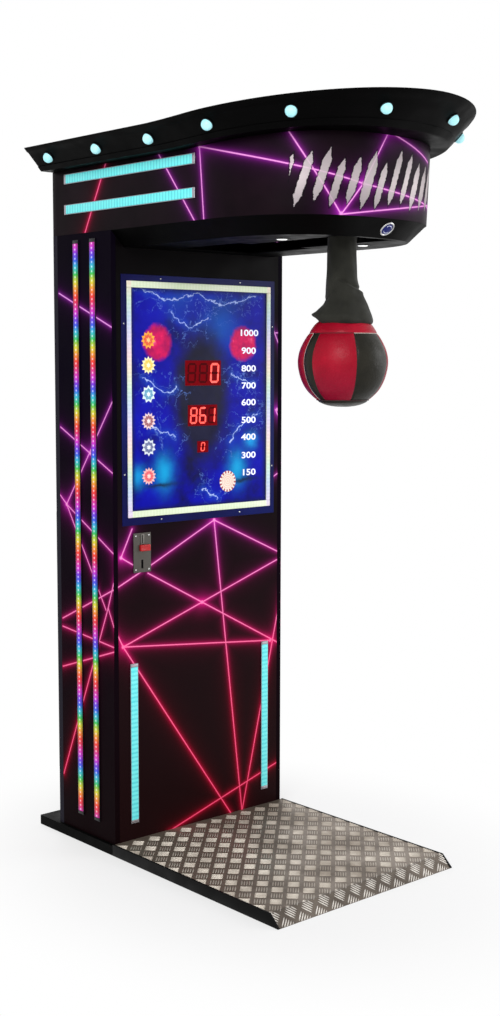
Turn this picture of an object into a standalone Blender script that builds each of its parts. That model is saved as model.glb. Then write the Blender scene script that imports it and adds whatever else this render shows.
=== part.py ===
"""Boxing punch machine: a tall printed column on a tread-plate platform, with a head that
overhangs the player and carries a swinging punch ball.

Metres, +Z up, +X to the player's right, -Y towards the player. The origin lies on the floor,
under the middle of the column's front face.
"""

import math

import bmesh
import bpy
from mathutils import Matrix, Vector

GAP = 0.0003  # left between pieces that touch

# Column
COLUMN_HALF = 0.357
COLUMN_DEPTH = 0.315
COLUMN_TOP = 1.973
PANEL = 0.018
STRIP_BATTEN = 0.018

# Platform
PLATFORM_OVERHANG = 0.011
PLATFORM_REAR = 0.419
BOARD = 0.032
TREAD = 0.003
FOLD_Y = -0.745
TOE_Y = -0.782

# Rear of the column
KICKBOARD_TOP = 0.200
DOOR_HEIGHT = 0.900
DOOR_GAP = 0.0015
HINGE_PIN = 0.003
HINGE_LEAF = 0.002
LOCK_RADIUS = 0.009
LOCK_INSET = 0.039
CAM_REACH = 0.034

# Display
DISPLAY_MARGIN = 0.036
DISPLAY_HEIGHT = 0.785
DISPLAY_DROP = 0.131
DISPLAY_REBATE = 0.005
DISPLAY_PROUD = 0.001
DIGIT_BOARD = 0.002
# Low x, high x, drop of the top and of the bottom below the display's top edge
SCORE_WINDOW = (-0.067, 0.083, 0.266, 0.347)
RECORD_WINDOW = (-0.056, 0.067, 0.410, 0.478)
CREDIT_WINDOW = (-0.017, 0.029, 0.528, 0.565)
DIGIT_MARGIN = 0.014

# Coin entry
COIN_PLATE = (0.069, 0.126, 0.003)
COIN_SIDE_INSET = 0.1115
COIN_DROP = 0.026
COIN_LIP = 0.0045
COIN_BODY_DEPTH = 0.078
COIN_SLOT = (0.0032, 0.028)
RETURN_SLOT = (0.008, 0.028)
REJECT_BUTTON = (0.038, 0.020)
REJECT_PROUD = 0.008
REJECT_TRAVEL = 0.004
CHUTE = (0.054, 0.040)
CHUTE_WALL = 0.002
CASH_BOX = (0.170, 0.200)
CASH_WALL = 0.002

# Steel frame inside the column and the head
FRAME_Y = 0.115
CHANNEL = 0.040
CHANNEL_WALL = 0.004
FRAME_CLEARANCE = 0.0062
BALL_SIDE_ROOM = 0.035

# Head, crown and their lights
HEAD_HEIGHT = 0.201
HEAD_START = 0.423
HEAD_TIP_LOW = 0.814
HEAD_TIP_TOP = 0.828
HEAD_POWER = 2.55
HEAD_WALL = 0.006
RISE_START = 0.300
RISE_POWER = 1.5
HEAD_RISE = 0.065
SKIRT = 0.050
SKIN = 0.004
LIP = 0.017
LIP_STEP = 0.001
CROWN_SOFFIT = 0.043
CROWN_FLARE = 0.107
CROWN_HEIGHT = 0.068
CROWN_START_LOW = 0.450
CROWN_START_TOP = 0.494
CROWN_TIP_LOW = 0.900
CROWN_TIP_TOP = 1.017
CROWN_POWER_LOW = 2.3
CROWN_POWER_TOP = 1.9
CROWN_RISE = 0.082
CROWN_WALL = 0.008
CROWN_COVE = 0.003
COVE_FLAT = (0.22, 0.78)
NOSE_STEPS = 13
BULB_COUNT = 12
BULB_FIRST = 0.086
BULB_RADIUS = 0.0165
BULB_STEM = 0.008
DOWNLIGHT_X = 0.165
DOWNLIGHT_Y = -0.565
DOWNLIGHT_RADIUS = 0.0185
DOWNLIGHT_DEPTH = 0.028

# Light strips: width across, thickness proud of the panel
STRIP_WIDTH = 0.030
STRIP_THICK = 0.005
SIDE_STRIP_Y = (0.095, 0.186)
SIDE_STRIP_FOOT = 0.090
SIDE_STRIP_DROP = 0.020
FRONT_STRIP_INSET = 0.077
FRONT_STRIP_FOOT = 0.090
FRONT_STRIP_DROP = 0.292
HEAD_BAR_SPAN = (-0.411, 0.245)
HEAD_BAR_RISE = (0.0775, 0.1725)

# Punch mechanism
PIVOT_Y = -0.650
PIVOT_RISE = 0.047
ARM_LENGTH = 0.447
BALL_RADIUS = 0.130
BALL_CLEARANCE = 0.020
ARM_SLOT_AHEAD = 0.095
AXLE_RADIUS = 0.010
HUB_RADIUS = 0.022
HUB_HALF = 0.032
ARM_RADIUS = 0.0165
SLEEVE_NECK = 0.0435
SLEEVE_HEM = 0.088
SLEEVE_WALL = 0.010
SWING_LIMIT = 80.0
LUG_REACH = 0.060
LUG_WIDTH = 0.016
HOOK_TURN = 12.0
HOOK_THICK = 0.008
HOOK_PIN = 0.003
TAIL_RISE = 0.016
TOOTH_PLAY = 0.003
PLUNGER_RADIUS = 0.005
DISC_X = 0.100
DISC_RADIUS = 0.035
STOP_RADIUS = 0.018

# Mains inlet
INLET_X = 0.200
INLET_Z = 0.115
ROCKER_TILT = 8.0

# Worked out from the values above
INNER_HALF = COLUMN_HALF - PANEL
PLATFORM_HALF = COLUMN_HALF + PLATFORM_OVERHANG
DECK = BOARD + GAP + TREAD
FLOOR = BOARD + GAP
DISPLAY_HALF = COLUMN_HALF - DISPLAY_MARGIN
DISPLAY_TOP = COLUMN_TOP - DISPLAY_DROP
DISPLAY_BOTTOM = DISPLAY_TOP - DISPLAY_HEIGHT
COIN_X = COIN_SIDE_INSET - COLUMN_HALF
COIN_TOP = DISPLAY_BOTTOM - COIN_DROP
COIN_BOTTOM = COIN_TOP - COIN_PLATE[1]
REJECT_X = COIN_X + COIN_PLATE[0] / 2 - COIN_LIP - REJECT_BUTTON[0] / 2 - 0.002
REJECT_Z = COIN_TOP - 0.048
HEAD_TOP = COLUMN_TOP + HEAD_HEIGHT
PIVOT = Vector((0, PIVOT_Y, COLUMN_TOP + PIVOT_RISE))
BALL_Z = PIVOT.z - ARM_LENGTH
BALL_TOP = BALL_Z + BALL_RADIUS - 0.003
BEAM_IN = BALL_RADIUS + BALL_SIDE_ROOM
BEAM_OUT = BEAM_IN + CHANNEL
BEAM_LOW = PIVOT.z + 0.035
BEAM_TOP = BEAM_LOW + CHANNEL
NOSE_SHARE = (1 - (BEAM_OUT / (COLUMN_HALF - HEAD_WALL)) ** HEAD_POWER) ** (1 / HEAD_POWER)
NOSE_REACH = HEAD_START + (HEAD_TIP_LOW - HEAD_WALL - HEAD_START) * NOSE_SHARE
BEAM_FRONT = FRAME_CLEARANCE - NOSE_REACH
DOOR_BOTTOM = KICKBOARD_TOP + DOOR_GAP
DOOR_TOP = DOOR_BOTTOM + DOOR_HEIGHT
DECK_PLATE_TOP = BEAM_TOP + 0.003
HOOK = Vector((0, PIVOT_Y + 0.050, DECK_PLATE_TOP + 0.014))
LOCK = Vector((INNER_HALF - LOCK_INSET, COLUMN_DEPTH, (DOOR_BOTTOM + DOOR_TOP) / 2))
HINGE = Vector((-INNER_HALF + 0.0005, COLUMN_DEPTH + 0.0035, (DOOR_BOTTOM + DOOR_TOP) / 2))
ROCKER = Vector((INLET_X + 0.0165, COLUMN_DEPTH - 0.002, INLET_Z))

FINISHES = {  # colour, roughness, metallic
    "black_board": ((0.012, 0.012, 0.014), 0.45, 0.0),
    "printed_vinyl": ((0.030, 0.008, 0.022), 0.22, 0.0),
    "black_moulding": ((0.008, 0.008, 0.009), 0.35, 0.0),
    "tread_aluminium": ((0.60, 0.58, 0.55), 0.38, 0.9),
    "steel": ((0.34, 0.35, 0.36), 0.45, 0.8),
    "zinc": ((0.42, 0.42, 0.40), 0.40, 0.7),
    "display_acrylic": ((0.02, 0.05, 0.55), 0.15, 0.0),
    "dark_red_window": ((0.10, 0.01, 0.01), 0.20, 0.0),
    "cyan_lens": ((0.28, 0.88, 0.86), 0.30, 0.0),
    "rainbow_lens": ((0.62, 0.25, 0.78), 0.30, 0.0),
    "white_lens": ((0.85, 0.85, 0.82), 0.30, 0.0),
    "red_plastic": ((0.72, 0.04, 0.03), 0.35, 0.0),
    "black_plastic": ((0.02, 0.02, 0.02), 0.40, 0.0),
    "red_leather": ((0.55, 0.02, 0.05), 0.32, 0.0),
    "black_fabric": ((0.03, 0.03, 0.028), 0.85, 0.0),
    "rubber": ((0.02, 0.02, 0.02), 0.80, 0.0),
    "circuit_green": ((0.02, 0.16, 0.07), 0.50, 0.0),
}

X, Y, Z = Vector((1, 0, 0)), Vector((0, 1, 0)), Vector((0, 0, 1))


# ---------------------------------------------------------------- modelling helpers


def start():
    for old in list(bpy.data.objects):
        bpy.data.objects.remove(old)
    for name in ("boxing_punch_machine", "cutters"):
        bpy.context.scene.collection.children.link(bpy.data.collections.new(name))


def painted(obj, finish):
    colour, roughness, metallic = FINISHES[finish]
    paint = bpy.data.materials.new(obj.name)
    paint.use_nodes = True
    shader = paint.node_tree.nodes["Principled BSDF"]
    shader.inputs["Base Color"].default_value = (*colour, 1)
    shader.inputs["Roughness"].default_value = roughness
    shader.inputs["Metallic"].default_value = metallic
    obj.data.materials.append(paint)


def placed(name, mesh, matrix, finish):
    """A new object. With no finish it is a helper, which only cuts or is joined on."""
    obj = bpy.data.objects.new(name, mesh)
    obj.matrix_world = matrix
    if finish:
        bpy.data.collections["boxing_punch_machine"].objects.link(obj)
        painted(obj, finish)
        return obj
    bpy.data.collections["cutters"].objects.link(obj)
    obj.hide_render = True
    obj.display_type = "WIRE"
    return obj


def from_bmesh(name, bm, matrix, finish):
    mesh = bpy.data.meshes.new(name)
    bm.to_mesh(mesh)
    bm.free()
    return placed(name, mesh, matrix, finish)


def box(name, low, high, finish=None, bevel=0.0, turn=None):
    low, high = Vector(low), Vector(high)
    bm = bmesh.new()
    bmesh.ops.create_cube(bm, size=1, matrix=Matrix.Diagonal((*(high - low), 1)))
    matrix = Matrix.Translation((low + high) / 2) @ (turn or Matrix())
    obj = from_bmesh(name, bm, matrix, finish)
    if bevel:
        rounding = obj.modifiers.new("edges", "BEVEL")
        rounding.width = bevel
        rounding.segments = 1
    return obj


def cylinder(name, radius, begin, end, finish=None, sides=24):
    begin, end = Vector(begin), Vector(end)
    span = end - begin
    bm = bmesh.new()
    bmesh.ops.create_cone(
        bm, cap_ends=True, segments=sides, radius1=radius, radius2=radius, depth=span.length
    )
    turn = span.to_track_quat("Z", "Y").to_matrix().to_4x4()
    obj = from_bmesh(name, bm, Matrix.Translation((begin + end) / 2) @ turn, finish)
    obj.data.shade_smooth()
    obj.data.set_sharp_from_angle(angle=math.radians(40))
    return obj


def turned(name, profile, matrix, finish, steps=24):
    """A profile of (radius, height) points, top to bottom, turned about its own Z."""
    mesh = bpy.data.meshes.new(name)
    points = [(radius, 0, height) for radius, height in profile]
    mesh.from_pydata(points, [(i, i + 1) for i in range(len(points) - 1)], [])
    obj = placed(name, mesh, matrix, finish)
    lathe = obj.modifiers.new("lathe", "SCREW")
    lathe.steps = lathe.render_steps = steps
    lathe.use_merge_vertices = True
    lathe.merge_threshold = 0.0001
    return obj


def prism(name, outline, across, low, high, finish=None):
    """A flat outline swept from low to high along the axis across (X, Y or Z)."""
    curve = bpy.data.curves.new(name + "_outline", "CURVE")
    curve.dimensions = "2D"
    curve.fill_mode = "BOTH"
    curve.extrude = (high - low) / 2
    spline = curve.splines.new("POLY")
    spline.points.add(len(outline) - 1)
    for point, (u, v) in zip(spline.points, outline):
        point.co = (u, v, 0, 1)
    spline.use_cyclic_u = True
    flat = bpy.data.objects.new(name + "_outline", curve)
    bpy.context.scene.collection.objects.link(flat)
    graph = bpy.context.evaluated_depsgraph_get()
    mesh = bpy.data.meshes.new_from_object(flat.evaluated_get(graph))
    bpy.data.objects.remove(flat)
    bm = bmesh.new()
    bm.from_mesh(mesh)
    bmesh.ops.remove_doubles(bm, verts=bm.verts, dist=0.00001)
    bmesh.ops.recalc_face_normals(bm, faces=bm.faces)
    first, second = {"X": (Y, Z), "Y": (X, Z), "Z": (X, Y)}[across]
    third = first.cross(second)
    axes = Matrix((first, second, third)).transposed().to_4x4()
    middle = (low + high) / 2 * {"X": X, "Y": Y, "Z": Z}[across]
    return from_bmesh(name, bm, Matrix.Translation(middle) @ axes, finish)


def ladder(bm, ring):
    """Closes a symmetric ring with one rung between each point and its mirror image."""
    last = len(ring) - 1
    for i in range(len(ring) // 2 - 1):
        bm.faces.new((ring[i], ring[i + 1], ring[last - i - 1], ring[last - i]))


def loft(name, loops, finish, capped):
    """A skin through the loops: capped at both ends, or joined last to first as a ring."""
    bm = bmesh.new()
    rings = [[bm.verts.new(point) for point in loop] for loop in loops]
    pairs = list(zip(rings, rings[1:])) + ([] if capped else [(rings[-1], rings[0])])
    for low, high in pairs:
        for i in range(len(low)):
            j = (i + 1) % len(low)
            bm.faces.new((low[i], low[j], high[j], high[i]))
    if capped:
        ladder(bm, rings[0])
        ladder(bm, rings[-1])
    bmesh.ops.recalc_face_normals(bm, faces=bm.faces)
    return from_bmesh(name, bm, Matrix(), finish)


def combine(obj, other, operation):
    change = obj.modifiers.new(f"{operation.lower()}_{other.name}", "BOOLEAN")
    change.operation = operation
    change.solver = "EXACT"
    change.object = other
    return obj


def cut(obj, *others):
    for other in others:
        combine(obj, other, "DIFFERENCE")
    return obj


def join(obj, *others):
    for other in others:
        combine(obj, other, "UNION")
    return obj


def pivoted(name, at, pieces):
    """An empty on the joint's axis, which carries the pieces that move about it."""
    empty = bpy.data.objects.new(name, None)
    empty.location = at
    bpy.data.collections["boxing_punch_machine"].objects.link(empty)
    bpy.context.view_layer.update()
    for piece in pieces:
        piece.parent = empty
        piece.matrix_parent_inverse = empty.matrix_world.inverted()
    return empty


# ---------------------------------------------------------------- platform


def ramp_y(height, depth):
    """Where a plane lying depth below the ramp's face crosses the given height."""
    run, drop = TOE_Y - FOLD_Y, -DECK
    length = math.hypot(run, drop)
    start_y = FOLD_Y - drop / length * depth
    start_z = DECK + run / length * depth
    return start_y + (height - start_z) * run / drop


def build_platform():
    slope = TREAD + GAP
    board = [
        (PLATFORM_REAR, 0),
        (PLATFORM_REAR, BOARD),
        (ramp_y(BOARD, slope), BOARD),
        (ramp_y(0, slope), 0),
    ]
    prism("base_platform", board, "X", -PLATFORM_HALF, PLATFORM_HALF, "black_board")
    plate = [
        (-GAP, FLOOR),
        (-GAP, DECK),
        (FOLD_Y, DECK),
        (TOE_Y, 0),
        (ramp_y(0, TREAD), 0),
        (ramp_y(FLOOR, TREAD), FLOOR),
    ]
    prism("tread_plate", plate, "X", -PLATFORM_HALF, PLATFORM_HALF, "tread_aluminium")


# ---------------------------------------------------------------- column


def window_box(name, window, front, back, room=0.0):
    low_x, high_x, top, bottom = window
    return box(
        name,
        (low_x - room, front, DISPLAY_TOP - bottom - room),
        (high_x + room, back, DISPLAY_TOP - top + room),
    )


WINDOWS = {"score": SCORE_WINDOW, "record": RECORD_WINDOW, "credit": CREDIT_WINDOW}


def build_side_panels():
    top = COLUMN_TOP - GAP
    batten_back = COLUMN_DEPTH - PANEL - GAP
    for side, name in ((-1, "left"), (1, "right")):
        inner, outer = sorted((side * INNER_HALF, side * COLUMN_HALF))
        panel = box(
            f"side_panel_{name}", (inner, 0, FLOOR), (outer, COLUMN_DEPTH, top), "printed_vinyl"
        )
        low, high = sorted((side * (INNER_HALF - STRIP_BATTEN), side * (INNER_HALF + 0.002)))
        batten = box(
            f"batten_{name}",
            (low, batten_back - STRIP_BATTEN, FLOOR + 0.001),
            (high, batten_back, top - 0.001),
        )
        join(panel, batten)


def coin_hole(name, room, front, back):
    half = COIN_PLATE[0] / 2 - COIN_LIP + room
    low, high = COIN_BOTTOM + COIN_LIP - room, COIN_TOP - COIN_LIP + room
    return (COIN_X - half, front, low), (COIN_X + half, back, high)


def build_front_panel():
    half = INNER_HALF - GAP
    panel = box("front_panel", (-half, 0, FLOOR), (half, PANEL, COLUMN_TOP - GAP), "printed_vinyl")
    rebate = box(
        "display_rebate",
        (-DISPLAY_HALF - GAP, -PANEL, DISPLAY_BOTTOM - GAP),
        (DISPLAY_HALF + GAP, DISPLAY_REBATE, DISPLAY_TOP + GAP),
    )
    cut(panel, rebate, box("coin_cutout", *coin_hole("coin", GAP, -PANEL, 2 * PANEL)))
    for name, window in WINDOWS.items():
        cut(panel, window_box(f"{name}_hole", window, -PANEL, 2 * PANEL, GAP))


def build_rear():
    half = INNER_HALF - GAP
    inside = COLUMN_DEPTH - PANEL
    kick = box(
        "back_kickboard", (-half, inside, FLOOR), (half, COLUMN_DEPTH, KICKBOARD_TOP), "black_board"
    )
    cut(kick, box("inlet_cutout", *inlet_body(GAP, 0.02)))
    box(
        "back_panel",
        (-half, inside, DOOR_TOP + DOOR_GAP),
        (half, COLUMN_DEPTH, COLUMN_TOP - GAP),
        "black_board",
        bevel=0.001,
    )
    edge = INNER_HALF - DOOR_GAP
    door = box(
        "rear_door", (-edge, inside, DOOR_BOTTOM), (edge, COLUMN_DEPTH, DOOR_TOP), "black_board"
    )
    leaf_low, leaf_high = DOOR_BOTTOM + 0.02, DOOR_TOP - 0.02
    leaf_start = HINGE.x + HINGE_PIN + GAP
    join(
        door,
        box(
            "door_leaf",
            (leaf_start, COLUMN_DEPTH - 0.002, leaf_low),
            (leaf_start + 0.030, COLUMN_DEPTH + HINGE_LEAF, leaf_high),
        ),
    )
    cut(
        door,
        cylinder("lock_hole", LOCK_RADIUS + GAP, LOCK - 0.05 * Y, LOCK + 0.05 * Y),
    )
    hinge = cylinder(
        "door_hinge",
        HINGE_PIN,
        (HINGE.x, HINGE.y, leaf_low),
        (HINGE.x, HINGE.y, leaf_high),
        "zinc",
        sides=12,
    )
    join(
        hinge,
        box(
            "fixed_leaf",
            (-COLUMN_HALF + 0.001, COLUMN_DEPTH + GAP, leaf_low + 0.0005),
            (HINGE.x - 0.001, COLUMN_DEPTH + GAP + HINGE_LEAF, leaf_high - 0.0005),
        ),
    )
    cam_y = inside - STRIP_BATTEN - GAP - 0.002
    lock = cylinder(
        "door_lock", LOCK_RADIUS, (LOCK.x, cam_y - 0.003, LOCK.z), LOCK + 0.003 * Y, "zinc"
    )
    join(
        lock,
        cylinder("lock_rim", LOCK_RADIUS + 0.003, LOCK + GAP * Y, LOCK + 0.0024 * Y),
        box(
            "lock_cam",
            (LOCK.x - 0.007, cam_y - 0.003, LOCK.z - CAM_REACH),
            (LOCK.x + 0.007, cam_y, LOCK.z + 0.004),
        ),
    )
    pivoted("rear_door_pivot", HINGE, [door])
    pivoted("door_lock_pivot", LOCK, [lock])


# ---------------------------------------------------------------- display


def build_display():
    panel = box(
        "display_panel",
        (-DISPLAY_HALF, -DISPLAY_PROUD, DISPLAY_BOTTOM),
        (DISPLAY_HALF, DISPLAY_REBATE - GAP, DISPLAY_TOP),
        "display_acrylic",
    )
    for name, window in WINDOWS.items():
        cut(panel, window_box(f"{name}_opening", window, -PANEL, PANEL, GAP))
    back = PANEL + GAP
    board = box(
        "digit_board",
        (SCORE_WINDOW[0] - DIGIT_MARGIN, back, DISPLAY_TOP - CREDIT_WINDOW[3] - DIGIT_MARGIN),
        (SCORE_WINDOW[1] + DIGIT_MARGIN, back + DIGIT_BOARD, DISPLAY_TOP - SCORE_WINDOW[2] + DIGIT_MARGIN),
        "dark_red_window",
    )
    for name, window in WINDOWS.items():
        join(board, window_box(f"{name}_digits", window, -DISPLAY_PROUD - 0.0005, back + 0.001))


# ---------------------------------------------------------------- coin entry


def build_coin_entry():
    width, height, thick = COIN_PLATE
    plate = box(
        "coin_faceplate",
        (COIN_X - width / 2, -GAP - thick, COIN_BOTTOM),
        (COIN_X + width / 2, -GAP, COIN_TOP),
        "zinc",
    )
    slot_top = COIN_TOP - 0.007
    return_low = COIN_BOTTOM + 0.012
    slots = (
        (COIN_SLOT, slot_top - COIN_SLOT[1], COIN_BODY_DEPTH - 0.030),
        (RETURN_SLOT, return_low, 0.025),
    )
    body = box("coin_acceptor", *coin_hole("coin", 0, GAP, COIN_BODY_DEPTH), "black_plastic")
    for (wide, tall), low, deep in slots:
        for piece in (plate, body):
            hole = box(
                f"{piece.name}_slot",
                (COIN_X - wide / 2, -0.02, low),
                (COIN_X + wide / 2, deep, low + tall),
            )
            cut(piece, hole)
    half_wide, half_tall = REJECT_BUTTON[0] / 2, REJECT_BUTTON[1] / 2
    button_back = REJECT_TRAVEL
    for piece in (plate, body):
        hole = box(
            f"{piece.name}_button_hole",
            (REJECT_X - half_wide - GAP, -0.02, REJECT_Z - half_tall - GAP),
            (REJECT_X + half_wide + GAP, button_back + REJECT_TRAVEL + 0.001, REJECT_Z + half_tall + GAP),
        )
        cut(piece, hole)
    button = box(
        "reject_button",
        (REJECT_X - half_wide, -GAP - thick - REJECT_PROUD, REJECT_Z - half_tall),
        (REJECT_X + half_wide, button_back, REJECT_Z + half_tall),
        "red_plastic",
        bevel=0.001,
    )
    pivoted("reject_button_slide", (REJECT_X, 0, REJECT_Z), [button])


def open_box(name, low, high, wall, finish, bottomless):
    low, high = Vector(low), Vector(high)
    inset = Vector((wall, wall, 0))
    reach = Vector((0, 0, 0.02))
    shell = box(name, low, high, finish)
    floor = -reach if bottomless else Vector((0, 0, wall))
    return cut(shell, box(name + "_hollow", low + inset + floor, high - inset + reach))


def build_coin_path():
    front = PANEL + GAP
    cash_top = FLOOR + GAP + CASH_BOX[1]
    open_box(
        "cash_box",
        (COIN_X - CHUTE[0] / 2 - 0.030, front, FLOOR + GAP),
        (COIN_X - CHUTE[0] / 2 - 0.030 + CASH_BOX[0], FRAME_Y - 0.006, cash_top),
        CASH_WALL,
        "steel",
        bottomless=False,
    )
    open_box(
        "coin_chute",
        (COIN_X - CHUTE[0] / 2, front, cash_top + 0.020),
        (COIN_X + CHUTE[0] / 2, front + CHUTE[1], COIN_BOTTOM + COIN_LIP - GAP),
        CHUTE_WALL,
        "zinc",
        bottomless=True,
    )


# ---------------------------------------------------------------- steel frame


def channel_outline(left, low, size, opens):
    """A channel's section. It opens towards the side named: +1 or -1 in its first axis."""
    wall = CHANNEL_WALL
    inside = size - wall
    section = [(0, 0), (size, 0), (size, wall), (wall, wall)]
    section += [(wall, inside), (size, inside), (size, size), (0, size)]
    if opens < 0:
        section = [(size - u, v) for u, v in reversed(section)]
    return [(left + u, low + v) for u, v in section]


def build_steel_frame():
    frame = box(
        "steel_frame",
        (-BEAM_OUT - 0.010, FRAME_Y - 0.004, FLOOR),
        (BEAM_OUT + 0.010, FRAME_Y + CHANNEL + 0.004, FLOOR + 0.005),
        "steel",
    )
    for side, name in ((-1, "left"), (1, "right")):
        left = BEAM_IN if side > 0 else -BEAM_OUT
        upright = channel_outline(left, FRAME_Y, CHANNEL, side)
        beam = channel_outline(left, BEAM_LOW, CHANNEL, side)
        join(
            frame,
            prism(f"upright_{name}", upright, "Z", FLOOR + 0.001, BEAM_TOP - 0.0005),
            prism(f"beam_{name}", beam, "Y", BEAM_FRONT + 0.0005, FRAME_Y + CHANNEL - 0.0005),
        )
    reach = BEAM_IN + CHANNEL_WALL - 0.0005
    front_reach = BEAM_OUT - 0.0005
    ties = (
        ((front_reach, BEAM_FRONT, BEAM_LOW - 0.0005), (BEAM_FRONT + CHANNEL_WALL, BEAM_TOP + 0.0005)),
        ((reach, FRAME_Y + 0.0005, BEAM_LOW - 0.060), (FRAME_Y + 0.0045, BEAM_TOP - 0.001)),
        ((reach, FRAME_Y + 0.0005, 1.000), (FRAME_Y + 0.0045, 1.050)),
    )
    for number, ((half, front, low), (back, high)) in enumerate(ties):
        join(frame, box(f"tie_{number}", (-half, front, low), (half, back, high)))
    join(
        frame,
        box(
            "mechanism_plate",
            (-BEAM_OUT + 0.001, HOOK.y - 0.012, BEAM_TOP - 0.002),
            (BEAM_OUT - 0.001, HOOK.y + 0.190, DECK_PLATE_TOP),
        ),
    )
    for side in (-1, 1):
        inner, outer = sorted((side * (HOOK_THICK / 2 + 0.001), side * (HOOK_THICK / 2 + 0.005)))
        ear = box(
            f"hook_ear_{side}",
            (inner, HOOK.y - 0.009, DECK_PLATE_TOP - 0.001),
            (outer, HOOK.y + 0.009, HOOK.z + 0.008),
        )
        join(frame, ear)
    reach_x = Vector((HOOK_THICK, 0, 0))
    cut(frame, cylinder("hook_pin_hole", HOOK_PIN + GAP, HOOK - 3 * reach_x, HOOK + 3 * reach_x, sides=12))


# ---------------------------------------------------------------- head and crown


def plan(half, start_y, tip, power, rear, height, rise):
    """A symmetric outline seen from above: straight sides and a rounded nose.

    It runs from the rear left corner round the nose to the rear right corner, and its height
    climbs towards the nose.
    """
    left = [(-half, rear)]
    for step in range(NOSE_STEPS):
        turn = math.pi / 2 * step / (NOSE_STEPS - 0.5)
        across = half * math.cos(turn) ** (2 / power)
        ahead = start_y + (tip - start_y) * math.sin(turn) ** (2 / power)
        left.append((-across, -ahead))
    outline = left + [(-x, y) for x, y in reversed(left)]
    return [
        Vector((x, y, height + rise * max(0.0, -y - RISE_START) ** RISE_POWER)) for x, y in outline
    ]


def wall_loop(height, inset, rear, tip=HEAD_TIP_LOW, rise=0.0):
    return plan(COLUMN_HALF - inset, HEAD_START, tip - inset, HEAD_POWER, rear, height, rise)


def build_head():
    inner_rear = COLUMN_DEPTH - HEAD_WALL
    top = dict(tip=HEAD_TIP_TOP, rise=HEAD_RISE)
    walls = [
        wall_loop(COLUMN_TOP, 0, COLUMN_DEPTH),
        wall_loop(HEAD_TOP, 0, COLUMN_DEPTH, **top),
        wall_loop(HEAD_TOP, HEAD_WALL, inner_rear, **top),
        wall_loop(COLUMN_TOP, HEAD_WALL, inner_rear),
    ]
    loft("head_wall", walls, "printed_vinyl", capped=False)

    rim, floor = COLUMN_TOP - GAP, COLUMN_TOP - SKIRT
    lip_out, lip_in = HEAD_WALL + GAP, HEAD_WALL + GAP + SKIN
    rear, inner = -GAP, -GAP - SKIN
    skirt = [
        wall_loop(floor, SKIRT, rear),
        wall_loop(rim, 0, rear),
        wall_loop(rim, lip_out, rear - LIP_STEP),
        wall_loop(COLUMN_TOP + LIP, lip_out, rear - LIP_STEP),
        wall_loop(COLUMN_TOP + LIP, lip_in, inner),
        wall_loop(rim - SKIN / 4, lip_in, inner),
        wall_loop(floor + SKIN, SKIRT + SKIN / 2, inner),
    ]
    underside = loft("head_underside", skirt, "black_moulding", capped=True)
    ball_y = PIVOT_Y + ARM_LENGTH * math.sin(math.radians(SWING_LIMIT))
    pocket_half = BALL_RADIUS + BALL_CLEARANCE
    slot_half = SLEEVE_HEM + BALL_CLEARANCE - 0.003
    low, high = floor - 0.02, floor + 0.02
    ball_front = ball_y - pocket_half
    cut(
        underside,
        box("ball_pocket", (-pocket_half, ball_front, low), (pocket_half, ball_y + pocket_half, high)),
        box(
            "arm_slot",
            (-slot_half, PIVOT_Y - ARM_SLOT_AHEAD, low - 0.001),
            (slot_half, ball_front + 0.03, high + 0.001),
        ),
    )
    for side, name in ((-1, "left"), (1, "right")):
        at = Vector((side * DOWNLIGHT_X, DOWNLIGHT_Y, floor))
        hole = cylinder(f"downlight_hole_{name}", DOWNLIGHT_RADIUS + GAP, at - 0.02 * Z, at + 0.02 * Z)
        cut(underside, hole)
        flange, body = DOWNLIGHT_RADIUS + 0.0025, DOWNLIGHT_RADIUS
        lens_low, rim_low = -0.0025, -0.0015
        profile = [(0, DOWNLIGHT_DEPTH), (body, DOWNLIGHT_DEPTH), (body, -GAP), (flange, -GAP)]
        profile += [(flange, rim_low), (body, lens_low), (0, lens_low)]
        turned(f"downlight_{name}", profile, Matrix.Translation(at), "white_lens")


def crown_loop(share, inset):
    """The crown's flare at a share of its height, with a shallow cove between its edges."""
    def between(low, high):
        return low + (high - low) * share

    cove = CROWN_COVE if 0 < share < 1 else 0
    drawn_in = inset + cove
    return plan(
        COLUMN_HALF + between(CROWN_SOFFIT, CROWN_FLARE) - drawn_in,
        between(CROWN_START_LOW, CROWN_START_TOP),
        between(CROWN_TIP_LOW, CROWN_TIP_TOP) - drawn_in,
        between(CROWN_POWER_LOW, CROWN_POWER_TOP),
        COLUMN_DEPTH - inset,
        HEAD_TOP + GAP + CROWN_HEIGHT * share,
        between(HEAD_RISE, CROWN_RISE),
    )


def bulb_frames():
    """Where each bulb sits on the flare: evenly spaced along its middle line."""
    low, high = crown_loop(COVE_FLAT[0], 0), crown_loop(COVE_FLAT[1], 0)
    middle = [(a + b) / 2 for a, b in zip(low, high)]
    lengths = [(b - a).length for a, b in zip(middle, middle[1:])]
    pitch = (sum(lengths) - 2 * BULB_FIRST) / (BULB_COUNT - 1)
    for number in range(BULB_COUNT):
        along = BULB_FIRST + pitch * number
        edge = 0
        while along > lengths[edge]:
            along -= lengths[edge]
            edge += 1
        forward = (middle[edge + 1] - middle[edge]).normalized()
        slope = (high[edge] + high[edge + 1] - low[edge] - low[edge + 1]).normalized()
        outward = slope.cross(forward).normalized()
        if outward.z > 0:
            outward = -outward
        at = middle[edge] + forward * along
        turn = outward.to_track_quat("Z", "X").to_matrix().to_4x4()
        yield Matrix.Translation(at) @ turn


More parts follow.
